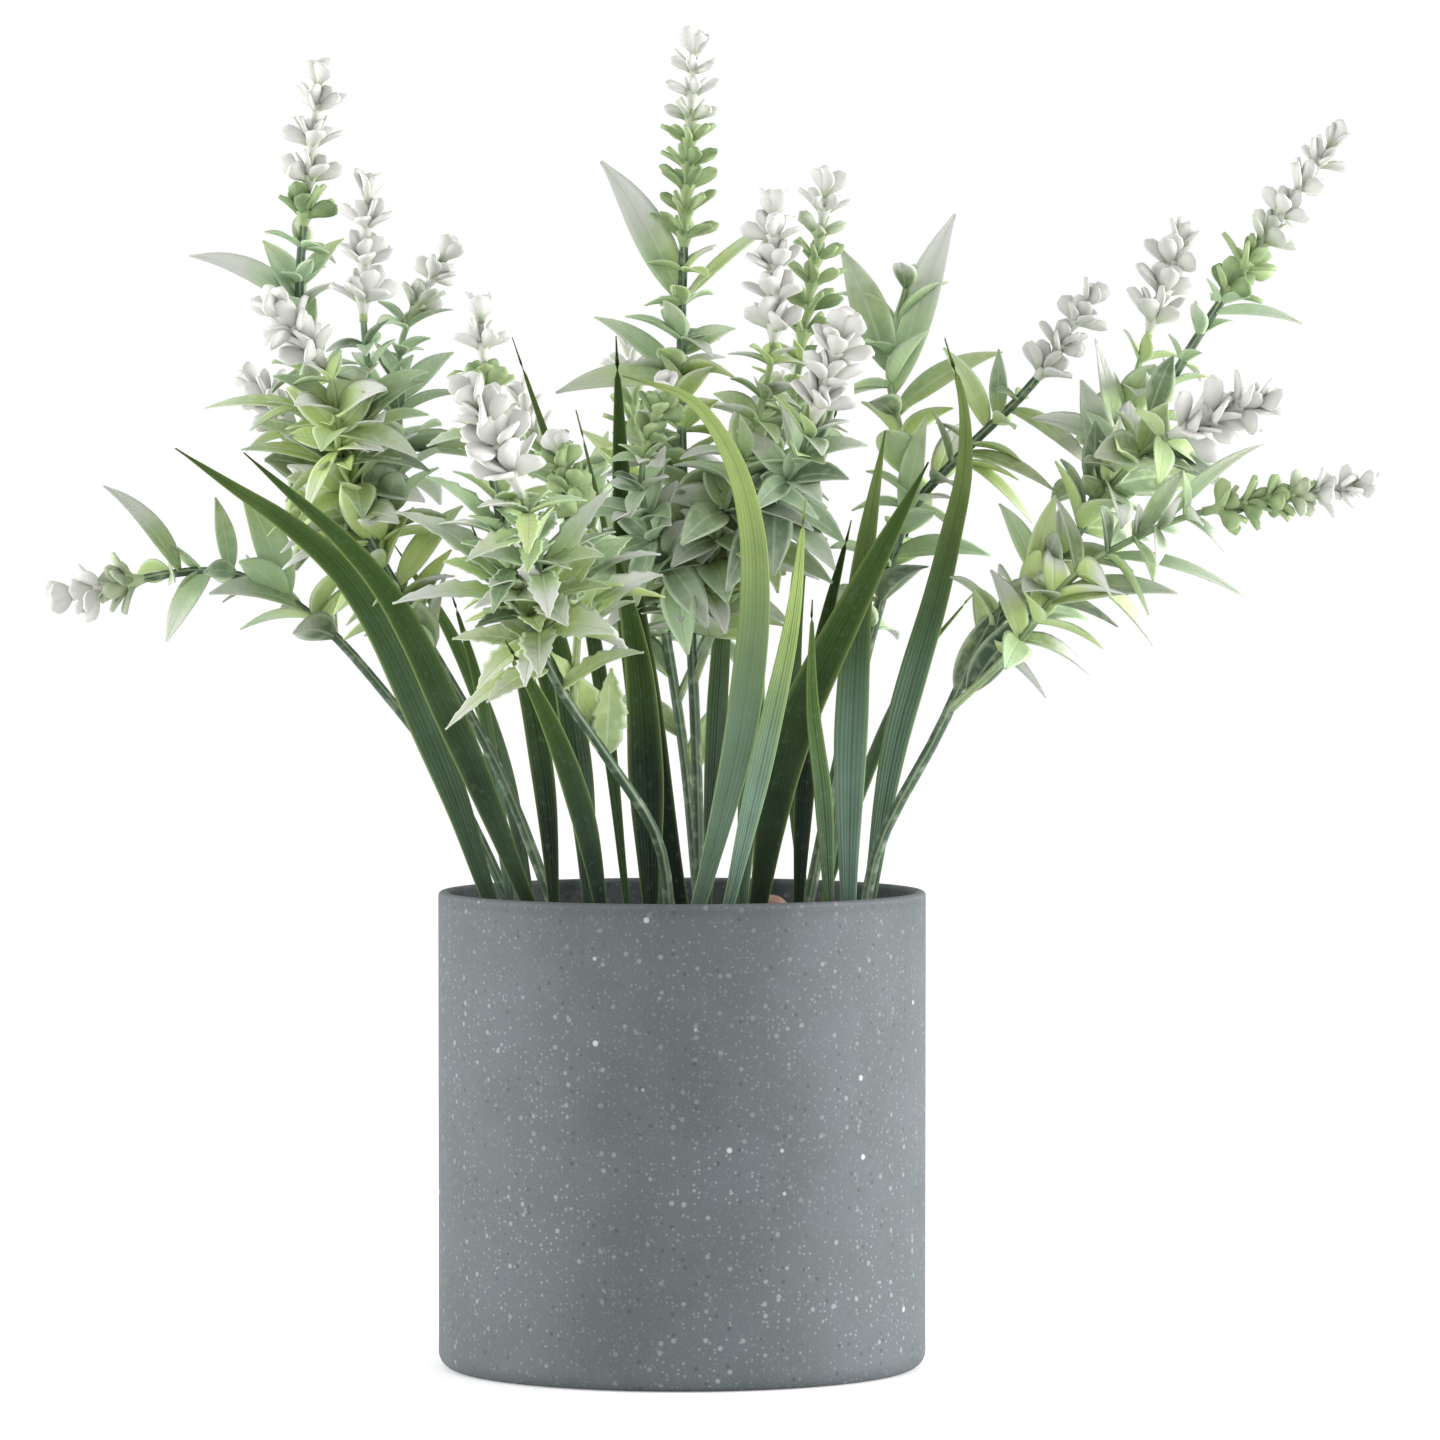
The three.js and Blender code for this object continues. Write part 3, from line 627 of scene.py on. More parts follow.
def pot_finish(settings):
    """Grey cast mix with fine pale grains, a few bright chips and small dark pits, and painted shade under
    the lip and towards the rim.
    """
    finish = Finish("speckled_pot", Specular_IOR_Level=0.35)
    patches = finish.noise(24 * MM, 4.0)
    crowding = patches.ramp(0.35, 0.7) * 0.6 + 0.4
    dust = finish.noise(0.5 * MM, 2.0).ramp(0.55, 0.8)
    grains = finish.specks(0.95 * MM, 0.25 * MM, 0.42)
    flecks = finish.specks(2.1 * MM, 0.46 * MM, 0.32)
    chips = finish.specks(8 * MM, 0.52 * MM, 0.42)
    pits = finish.specks(2.0 * MM, 0.4 * MM, 0.28)
    body = finish.mix(patches.ramp(0.3, 0.7), settings.body_dark, settings.body_light)
    clouds = finish.noise(13 * MM, 2.0).ramp(0.42, 0.62)
    body = finish.mix(clouds * 0.55, body, settings.cloud_colour)
    body = finish.mix(dust * 0.22, body, settings.grain_colour)
    body = finish.mix(grains * crowding * 0.45, body, settings.grain_colour)
    body = finish.mix(flecks * crowding * 0.62, body, settings.grain_colour)
    body = finish.mix(pits * 0.5, body, settings.pit_and_painted_shade_colour)
    body = finish.mix(chips * 0.6, body, settings.chip_colour)
    height = finish.wire("ShaderNodeSeparateXYZ", None, {0: finish.place()}, "Z")
    below_lip = (POT_TOP - height) * (1 / MM)
    # Painted shade: a thin dark shadow line just under the lip, and a broad darkening over the top 16 mm of
    # the pot where the plant shades it, both in the pit colour.
    shadow_line = below_lip.ramp(0.6, 1.2) * (1 - below_lip.ramp(1.4, 3.2))
    body = finish.mix(shadow_line * 0.22, body, settings.pit_and_painted_shade_colour)
    body = finish.mix((1 - below_lip.ramp(0.0, 16.0)) * 0.16, body, settings.pit_and_painted_shade_colour)
    finish.colour(body)
    finish.roughness(settings.roughness + patches * 0.12 - chips * 0.2)
    finish.bump(finish.noise(0.9 * MM, 6.0) * 0.5 + grains * 0.35 - pits * 0.9, 0.05 * MM, 0.7)
    return finish.material


def soil_finish(settings):
    """Dark crumbly filling with paler fibres."""
    finish = Finish("soil", Specular_IOR_Level=0.2)
    crumbs = finish.noise(2.2 * MM, 8.0)
    fibres = finish.noise(0.7 * MM, 3.0)
    tint = finish.mix(crumbs.ramp(0.35, 0.7), settings.soil_dark, settings.soil_light)
    finish.colour(finish.mix(fibres.ramp(0.6, 0.75) * 0.5, tint, (0.12, 0.075, 0.04)))
    finish.roughness(0.85 + fibres * 0.12)
    finish.bump(crumbs + fibres * 0.4, 0.5 * MM)
    return finish.material


def pebble_finish(settings):
    """Red-brown stone with faint veins."""
    finish = Finish("pebble", Specular_IOR_Level=0.3)
    clouds = finish.noise(2.5 * MM, 6.0)
    tint = finish.mix(clouds.ramp(0.3, 0.75), settings.pebble_colour, (0.34, 0.23, 0.18))
    finish.colour(finish.mix(finish.specks(1.2 * MM, 0.2 * MM, 0.3) * 0.6, tint, (0.08, 0.05, 0.04)))
    finish.roughness(0.6 + clouds * 0.25)
    finish.bump(finish.noise(0.8 * MM, 5.0), 0.15 * MM)
    return finish.material


def grass_finish(settings):
    """Moulded straps: fine ribs along the blade, a dusty lower half, a painted highlight along the rims and
    a yellower tip.
    """
    finish = Finish("grass_blade", Specular_IOR_Level=0.06)
    across = finish.mark("across")
    along = finish.mark("along")
    patches = finish.noise(9 * MM, 3.0)
    ribs = (across * 24.0).sine() * 0.5 + 0.5
    lightness = finish.mark("tone") + (patches - 0.5) * 0.22 + along.ramp(0.2, 1.0) * 0.4 + ribs * 0.04
    green = finish.mix(lightness.ramp(0.0, 0.55), settings.grass_deep, settings.grass_fresh)
    green = finish.mix(lightness.ramp(0.55, 1.15), green, settings.grass_pale_and_highlight)
    dusty = finish.mark("pale") * (1 - along.ramp(0.3, 0.75)) * (0.8 + (patches - 0.5) * 0.8)
    green = finish.mix(dusty, green, settings.dusty)
    # Painted highlight: the edges of each blade are lightened, more towards the tip.
    green = finish.mix(abs(across) ** 8.0 * (0.25 + along * 0.5), green, settings.grass_pale_and_highlight)
    streaks = finish.noise(1.3 * MM, 2.0).ramp(0.55, 0.8)
    finish.colour(finish.mix(streaks * 0.2, green, settings.dusty))
    finish.roughness(settings.roughness + ribs * 0.08 + patches * 0.12)
    crease = 1 - abs(across).ramp(0.0, 0.12)
    finish.bump(ribs * 0.4 + finish.noise(0.6 * MM, 3.0) * 0.3 - crease * 0.8, 0.14 * MM)
    return finish.material


def leaf_finish(settings):
    """Matt moulded leaves: green with a sunk midrib and side veins, a painted highlight along the rims and
    whitened tips.
    """
    finish = Finish("leaf", Specular_IOR_Level=0.22)
    across = finish.mark("across")
    along = finish.mark("along")
    patches = finish.noise(6 * MM, 4.0)
    hues = finish.noise(28 * MM, 1.0)
    soft_swell = finish.noise(5 * MM, 0.0)
    veins = ((along * 60.0) - abs(across) * 9.0).sine() * 0.5 + 0.5
    midrib = 1 - abs(across).ramp(0.03, 0.14)
    fresh = finish.mix(hues.ramp(0.35, 0.65), settings.leaf_yellow, settings.leaf_blue)
    shade = finish.mark("tone") + (patches - 0.5) * 0.5
    green = finish.mix(shade.ramp(-0.1, 0.75), settings.leaf_deep, fresh)
    # Painted highlight: the outer edges of each leaf are lightened.
    green = finish.mix(abs(across).ramp(0.6, 1.0) * 0.5, green, settings.leaf_pale_and_highlight)
    green = finish.mix(midrib * 0.3, green, settings.leaf_pale_and_highlight)
    dusty = finish.noise(2.2 * MM, 2.0).ramp(0.45, 0.75) * 0.25
    green = finish.mix(dusty, green, settings.leaf_pale_and_highlight)
    whiteness = finish.mark("pale") + (patches - 0.5) * 0.3
    finish.colour(finish.mix(whiteness.ramp(0.0, 0.9), green, settings.whitened))
    finish.roughness(settings.roughness + patches * 0.15)
    finish.bump(veins * 0.3 - midrib * 0.8 + soft_swell * 0.4, 0.09 * MM)
    return finish.material


def flower_finish(settings):
    """Soft moulded florets, white above and green below, with painted shade: a faint grey-lilac darkening
    of the white towards the petal bases in the hollows.
    """
    finish = Finish("floret", Specular_IOR_Level=0.2)
    along = finish.mark("along")
    patches = finish.noise(3 * MM, 1.0)
    shade = finish.mark("tone") + patches - 0.5
    green = finish.mix(shade.ramp(0.0, 1.0), settings.green_dark, settings.green_light)
    # Painted shade: the white darkens towards the petal bases, in the hollows of the floret.
    white = finish.mix(along.ramp(0.0, 0.7), settings.painted_shade_white, settings.white)
    finish.colour(finish.mix((finish.mark("pale") + (patches - 0.5) * 0.3).ramp(0.1, 0.8), green, white))
    finish.roughness(settings.roughness + patches * 0.15)
    finish.bump(patches, 0.04 * MM)
    return finish.material


# ---------------------------------------------------------------- settings


def length_setting(name, description, millimetres):
    return FloatProperty(
        name=name, description=description, default=millimetres * MM, min=0.0, unit="LENGTH", precision=4
    )


def colour_setting(name, description, colour):
    return FloatVectorProperty(
        name=name, description=description, default=colour, size=3, min=0.0, max=1.0, subtype="COLOR"
    )


def share_setting(name, description, share):
    return FloatProperty(
        name=name, description=description, default=share, min=0.0, max=1.0, subtype="FACTOR"
    )


def power_setting(name, description, watts):
    return FloatProperty(name=name, description=description, default=watts, min=0.0, unit="POWER")


class PlantPotSettings(bpy.types.PropertyGroup):
    lip_round: length_setting("Lip round", "Radius of the rounded lip", 0.8)
    foot_round: length_setting("Foot round", "Radius of the rounded foot", 3.0)
    body_dark: colour_setting("Darker body", "Darker patches of the cast mix", (0.074, 0.088, 0.090))
    body_light: colour_setting("Lighter body", "Lighter patches of the cast mix", (0.088, 0.104, 0.107))
    cloud_colour: colour_setting("Clouds", "Faint lilac clouds in the body", (0.096, 0.103, 0.116))
    grain_colour: colour_setting("Grains", "Fine pale grains", (0.30, 0.33, 0.33))
    chip_colour: colour_setting("Chips", "Larger bright chips", (0.58, 0.60, 0.58))
    # This colour also paints the shade under the lip and towards the rim.
    pit_and_painted_shade_colour: colour_setting("Pits", "Small dark pits", (0.035, 0.042, 0.045))
    roughness: share_setting("Roughness", "How matt the pot is", 0.62)
    soil_dark: colour_setting("Darker soil", "Hollows of the soil", (0.018, 0.013, 0.010))
    soil_light: colour_setting("Lighter soil", "Crumbs of the soil", (0.060, 0.044, 0.033))
    pebble_colour: colour_setting("Pebble", "Colour of the pebble", (0.19, 0.10, 0.075))


class PlantLeafSettings(bpy.types.PropertyGroup):
    stem_diameter: length_setting("Stem", "Thickness of a leafy stem", 2.2)
    twig_diameter: length_setting("Twig", "Thickness of a side branch", 1.6)
    leaf_thickness: length_setting("Leaf thickness", "Thickness of a leaf", 0.7)
    blade_thickness: length_setting("Blade thickness", "Thickness of a grass blade", 0.8)
    leaf_spacing: length_setting("Leaf spacing", "Distance between rings of small leaves", 5.8)
    leaf_length: length_setting("Leaf length", "Length of a usual small leaf", 14.0)
    grass_deep: colour_setting("Deep grass", "Darkest grass", (0.003, 0.008, 0.003))
    grass_fresh: colour_setting("Fresh grass", "Usual grass", (0.042, 0.078, 0.019))
    # Also the painted highlight along the blade edges.
    grass_pale_and_highlight: colour_setting("Pale grass", "Tips and rims of the grass", (0.27, 0.36, 0.12))
    dusty: colour_setting("Dusty grass", "Blue-green bloom low on the blades", (0.130, 0.200, 0.160))
    leaf_deep: colour_setting("Deep leaf", "Darkest leaves", (0.046, 0.082, 0.046))
    leaf_yellow: colour_setting("Yellow leaf", "Yellower fresh leaves", (0.42, 0.53, 0.18))
    leaf_blue: colour_setting("Blue leaf", "Bluer fresh leaves", (0.36, 0.49, 0.30))
    # Also the painted highlight along the leaf edges; the ribs and dusty patches are the leaves' own
    # colour.
    leaf_pale_and_highlight: colour_setting("Leaf rim", "Rims, ribs and dusty patches", (0.55, 0.65, 0.46))
    whitened: colour_setting("Whitened", "Tips of the pale leaves", (0.53, 0.55, 0.50))
    roughness: share_setting("Roughness", "How matt the greenery is", 0.5)


class PlantFlowerSettings(bpy.types.PropertyGroup):
    petal_length: length_setting("Petal length", "Length of a usual petal", 5.4)
    petal_width: length_setting("Petal width", "Width of a usual petal", 3.0)
    petal_thickness: length_setting("Petal thickness", "Thickness of a petal", 1.3)
    white: colour_setting("White", "Open florets", (0.57, 0.57, 0.54))
    # Painted shade in the hollows of the open florets.
    painted_shade_white: colour_setting("White cast", "Hollows of the open florets", (0.48, 0.50, 0.43))
    green_light: colour_setting("Light bud", "Light green of the buds", (0.33, 0.42, 0.21))
    green_dark: colour_setting("Dark bud", "Dark green of the buds", (0.13, 0.20, 0.09))
    roughness: share_setting("Roughness", "How matt the florets are", 0.55)


class PlantStageSettings(bpy.types.PropertyGroup):
    floor_size: length_setting("Floor", "Width of the floor", 6000)
    camera_distance: length_setting("Camera distance", "Distance of the camera from the pot's axis", 1600)
    camera_height: length_setting("Camera height", "Height of the camera", 178)
    left_power: power_setting("Left light", "Power of the left light", 13.0)
    right_power: power_setting("Right light", "Power of the right light", 21.0)


# ---------------------------------------------------------------- pieces


POT_SIDES = 128
BEVEL_STEPS = 6
SOIL_SIDES = 96
SOIL_RINGS = 24
SOIL_CRUMBS = 320
PEBBLE_BUMPS = 14
ROOT_DIP = 3 * MM


def ring_edges(bm, radius, level):
    """The edges of a level ring of the pot."""

    def on_ring(vert):
        return abs(vert.co.xy.length - radius) < 0.05 * MM and abs(vert.co.z - level) < 0.05 * MM

    return [edge for edge in bm.edges if all(on_ring(vert) for vert in edge.verts)]


class PLANT_OT_pot(bpy.types.Operator):
    """Turn the pot: a plain cylinder with a rounded lip and a rounded foot"""

    bl_idname = "plant.pot"
    bl_label = "Pot"

    def execute(self, context):
        settings = context.scene.plant_pot
        bm = bmesh.new()
        bmesh.ops.create_cone(
            bm, cap_ends=True, segments=POT_SIDES, radius1=POT_RADIUS, radius2=POT_RADIUS, depth=POT_TOP
        )
        bmesh.ops.translate(bm, verts=bm.verts[:], vec=UP * (POT_TOP / 2))
        lid = max(bm.faces, key=lambda face: face.calc_center_median().z)
        wall = POT_RADIUS - INNER_RADIUS
        bmesh.ops.inset_region(bm, faces=[lid], thickness=wall, use_even_offset=True)
        pushed = bmesh.ops.extrude_face_region(bm, geom=[lid])
        sunk = [item for item in pushed["geom"] if isinstance(item, bmesh.types.BMVert)]
        bmesh.ops.delete(bm, geom=[lid], context="FACES_ONLY")
        bmesh.ops.translate(bm, verts=sunk, vec=UP * (POT_FLOOR - POT_TOP))
        for radius, level, rounding in (
            (POT_RADIUS, POT_TOP, settings.lip_round),
            (INNER_RADIUS, POT_TOP, settings.lip_round),
            (POT_RADIUS, 0.0, settings.foot_round),
        ):
            bmesh.ops.bevel(
                bm,
                geom=ring_edges(bm, radius, level),
                offset=rounding,
                affect="EDGES",
                segments=BEVEL_STEPS,
                profile=0.5,
                material=-1,
            )
        for level in (settings.foot_round + 1 * MM, POT_TOP - settings.lip_round - 1 * MM):
            bmesh.ops.bisect_plane(
                bm, geom=bm.verts[:] + bm.edges[:] + bm.faces[:], plane_co=UP * level, plane_no=UP
            )
        bmesh.ops.recalc_face_normals(bm, faces=bm.faces[:])
        piece = finished_piece("pot_body", bm, pot_finish(settings))
        hand_over(piece, "pot", "pot")
        return {"FINISHED"}


class PLANT_OT_soil(bpy.types.Operator):
    """Fill the pot with crumbly soil"""

    bl_idname = "plant.soil"
    bl_label = "Soil"

    def execute(self, context):
        chance = random.Random(11)
        radius = INNER_RADIUS - SEAT_GAP
        depth = SOIL_TOP - SOIL_LOW.z
        bm = bmesh.new()
        bmesh.ops.create_cone(
            bm, cap_ends=True, segments=SOIL_SIDES, radius1=radius, radius2=radius, depth=depth
        )
        bmesh.ops.translate(bm, verts=bm.verts[:], vec=UP * (SOIL_LOW.z + depth / 2))
        top = max(bm.faces, key=lambda face: face.calc_center_median().z)
        step = radius / (SOIL_RINGS + 2)
        for _ in range(SOIL_RINGS):
            bmesh.ops.inset_region(bm, faces=[top], thickness=step, use_even_offset=True)
        for vert in bm.verts:
            inside = vert.co.xy.length < radius - 0.5 * MM
            if inside and vert.co.z > SOIL_TOP - 1 * MM:
                vert.co.z += chance.uniform(-0.8, 0.5) * MM
        for _ in range(SOIL_CRUMBS):
            reach = radius * 0.96 * math.sqrt(chance.random())
            angle = chance.uniform(0, math.tau)
            size = chance.uniform(0.5, 1.3) * MM
            made = bmesh.ops.create_icosphere(bm, subdivisions=1, radius=size)
            centre = Vector((reach * math.cos(angle), reach * math.sin(angle), SOIL_TOP + 0.1 * MM))
            for vert in made["verts"]:
                vert.co = vert.co * chance.uniform(0.75, 1.2) + centre
        piece = finished_piece("soil_bed", bm, soil_finish(context.scene.plant_pot))
        hand_over(piece, "soil", "soil")
        return {"FINISHED"}


class PLANT_OT_pebble(bpy.types.Operator):
    """Lay the red-brown pebble on the soil"""

    bl_idname = "plant.pebble"
    bl_label = "Pebble"

    def execute(self, context):
        chance = random.Random(5)
        low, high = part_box("pebble")
        centre = (low + high) / 2
        half = (high - low) / 2
        bm = bmesh.new()
        bmesh.ops.create_icosphere(bm, subdivisions=4, radius=1)
        bumps = []
        for _ in range(PEBBLE_BUMPS):
            way = Vector([chance.gauss(0, 1) for _ in range(3)]).normalized()
            bumps.append((way, chance.uniform(-0.1, 0.1)))
        for vert in bm.verts:
            out = vert.co.normalized()
            swell = 1 + sum(size * max(0.0, out.dot(way)) ** 3 for way, size in bumps)
            swell = min(swell, 1.08)
            vert.co = Vector((out.x * half.x, out.y * half.y, out.z * half.z)) * swell + centre
        piece = finished_piece("pebble_stone", bm, pebble_finish(context.scene.plant_pot))
        hand_over(piece, "pebble", "pebble")
        return {"FINISHED"}


class PLANT_OT_grass(bpy.types.Operator):
    """Grow the grass blades: long folded straps"""

    bl_idname = "plant.grass"
    bl_label = "Grass"

    def execute(self, context):
        settings = context.scene.plant_leaf
        material = grass_finish(settings)
        chance = random.Random(3)
        for name, (tone, dusty) in BLADE_LOOKS.items():
            self.grow(f"grass_{name}", tone, dusty, chance.uniform(-0.2, 0.2), settings, material)
        return {"FINISHED"}

    def grow(self, node, tone, dusty, twist, settings, material):
        centres = []
        widths = []
        facings = []
        for ring in read_rings(node, 4):
            pairs = [(a, b) for i, a in enumerate(ring) for b in ring[i + 1:]]
            left, right = max(pairs, key=lambda pair: (pair[0] - pair[1]).length)
            rest = [corner for corner in ring if corner is not left and corner is not right]
            centre = middle_of(rest)
            centres.append(centre)
            widths.append((left - right).length / 2)
            facings.append((middle_of([left, right]) - centre).normalized())
        facings[0] = facings[1]
        centres.insert(0, centres[0] - UP * ROOT_DIP)
        route = Route(smooth_line(centres))
        grown = route.length - ROOT_DIP

        def along_cad(share):
            return (share * route.length - ROOT_DIP) / grown

        def half_width(share):
            place = max(along_cad(share), 0.0)
            return max(widths) * (0.4 + 0.6 * smoothstep(place, 0.0, 0.45)) * max(1 - place ** 3, 0.04)

        def facing(share):
            ahead = route.heading(share)
            flat = interpolate(facings, along_cad(share))
            front = (flat - ahead * flat.dot(ahead)).normalized()
            turn = twist * share
            return front * math.cos(turn) + ahead.cross(front) * math.sin(turn)

        def half_depth(share):
            return settings.blade_thickness / 2 * (1 - 0.6 * share)

        bm = new_growth()
        bloom = even(dusty)
        add_bar(bm, route, BLADE_DETAIL, half_width, half_depth, facing, 0.25, bloom, tone)
        hand_over(finished_piece(f"{node}_look", bm, material), "grass", node)


def taper(wide, narrow):
    """A function of a share that runs evenly from wide to narrow."""
    return lambda share: wide + (narrow - wide) * share


def even(value):
    """A function of a share that is the same all along."""
    return lambda share: value


def leaf_outline(half, toothed=False):
    """Half the width of a leaf by share: a slim stalk, widest before the middle, pointed tip."""

    def outline(share):
        body = math.sin(math.pi * min(share, 1.0) ** 0.8) ** 0.85 if 0 < share < 1 else 0.0
        if toothed:
            tooth = (share * 6) % 1.0
            body *= 1 - 0.28 * tooth * smoothstep(share, 0.1, 0.25)
        return max(body * half, 0.1 * half)

    return outline


def add_leaf(bm, base, reach, width, facing, paleness, tone, settings, toothed, detail):
    """Adds one leaf from its base to base + reach."""
    route = bowed_route(base, base + reach, UP * (0.16 * reach.length))

    def pale(share):
        return max(paleness, 0.0) * smoothstep(share, 0.2, 0.85) * 1.25

    outline = leaf_outline(width / 2, toothed)
    depth = taper(settings.leaf_thickness / 2, settings.leaf_thickness / 5)
    tone += min(paleness, 0.0)
    add_bar(bm, route, detail, outline, depth, even(facing), 0.4, pale, tone)


class PLANT_OT_leafy_stems(bpy.types.Operator):
    """Grow the leafy stems with their leaves"""

    bl_idname = "plant.leafy_stems"
    bl_label = "Leafy stems"

    def execute(self, context):
        settings = context.scene.plant_leaf
        material = leaf_finish(settings)
        for number, (name, plan) in enumerate(LEAFY_STEMS.items()):
            chance = random.Random(100 + number)
            toothed = name == "front_left"
            bm = new_growth()
            routes = branch_routes(plan["branches"])
            ring = LEAVES_PER_RING[name]
            for route, (parent, _fork, bare, _points) in zip(routes, plan["branches"]):
                self.add_branch(bm, route, parent is None, bare, ring, toothed, chance, settings)
            for branch, along, reach, width, paleness in plan["leaves"]:
                sway = Vector([chance.uniform(-0.25, 0.25) for _ in range(3)])
                facing = (Vector((0.1, -0.75, 0.65)) + sway).normalized()
                tip = Vector(reach) * MM
                detail = LARGE_TOOTHED_DETAIL if toothed else LARGE_LEAF_DETAIL
                tone = chance.uniform(0.35, 0.8)
                base = routes[branch].at(along)
                add_leaf(bm, base, tip, width * MM, facing, paleness, tone, settings, toothed, detail)
            node = f"leafy_stem_{name}"
            hand_over(finished_piece(f"{node}_look", bm, material), "leafy_stem", node)
        return {"FINISHED"}

    def add_branch(self, bm, route, is_main, bare, leaves_per_ring, toothed, chance, settings):
        stalk = route.stretch(0.0, bare + 0.01 * (bare < 1), 24)
        if is_main:
            stalk = Route([stalk.at(0.0) - UP * ROOT_DIP] + stalk.line)
        thickness = settings.stem_diameter if is_main else settings.twig_diameter
        girth = taper(thickness / 2, thickness / 2 * 0.75)
        tone = -0.08 if is_main else 0.3
        facing = even(Vector((0.15, -0.9, 0.4)))
        add_bar(bm, stalk, STEM_DETAIL, girth, girth, facing, tone=tone, rim=0.4)
        gone = 3 * MM
        angle = chance.uniform(0, math.tau)
        while gone < stalk.length - 1 * MM:
            share = gone / stalk.length
            height = stalk.at(share).z
            if height > LEAVES_FROM:
                nearness = smoothstep(share, 0.5, 1.0)
                length = settings.leaf_length * chance.uniform(0.75, 1.2) * (1.1 - 0.45 * nearness)
                for leaf in range(leaves_per_ring):
                    turn = angle + leaf * math.tau / leaves_per_ring + chance.uniform(-0.4, 0.4)
                    self.add_small_leaf(bm, stalk, share, turn, length, toothed, chance, settings)
            angle += math.radians(90) + chance.uniform(-0.35, 0.35)
            gone += settings.leaf_spacing * chance.uniform(0.8, 1.2)

    def add_small_leaf(self, bm, stalk, share, angle, length, toothed, chance, settings):
        ahead = stalk.heading(share)
        aside = ahead.orthogonal().normalized()
        out = aside * math.cos(angle) + ahead.cross(aside) * math.sin(angle)
        lift = math.radians(chance.uniform(-5, 60))
        droop = UP * (-0.3 * length * chance.random())
        way = out * math.cos(lift) + ahead * math.sin(lift)
        reach = way * (length * chance.uniform(0.8, 1.15)) + droop
        sway = Vector([chance.uniform(-0.4, 0.4) for _ in range(3)])
        facing = ahead * math.cos(lift) - out * math.sin(lift) + sway
        paleness = chance.choice((0.0, 0.1, 0.2, 0.4, 0.75))
        tone = chance.uniform(0.1, 1.0)
        width = length * chance.uniform(0.36, 0.48)
        detail = SMALL_TOOTHED_DETAIL if toothed else SMALL_LEAF_DETAIL
        add_leaf(bm, stalk.at(share), reach, width, facing, paleness, tone, settings, toothed, detail)


# Florets: how many petals each kind has, and how far up its spike the topmost one sits.
OPEN_PETALS = 5
CLOSED_PETALS = 6
INNER_PETALS = 4
TOP_PETALS = 5
TOP_SHARE = 0.93
BUD_FACING = even(FRONT + UP * 0.3)


def petal_outline(half):
    """Half the width of a petal: a slim stalk that widens to a round spoon."""

    def outline(share):
        rise = 0.28 + 0.72 * smoothstep(share, 0.1, 0.65)
        past = max(0.0, (share - 0.72) / 0.28)
        return half * rise * math.sqrt(max(0.0, 1 - past ** 2.4) + 0.03)

    return outline


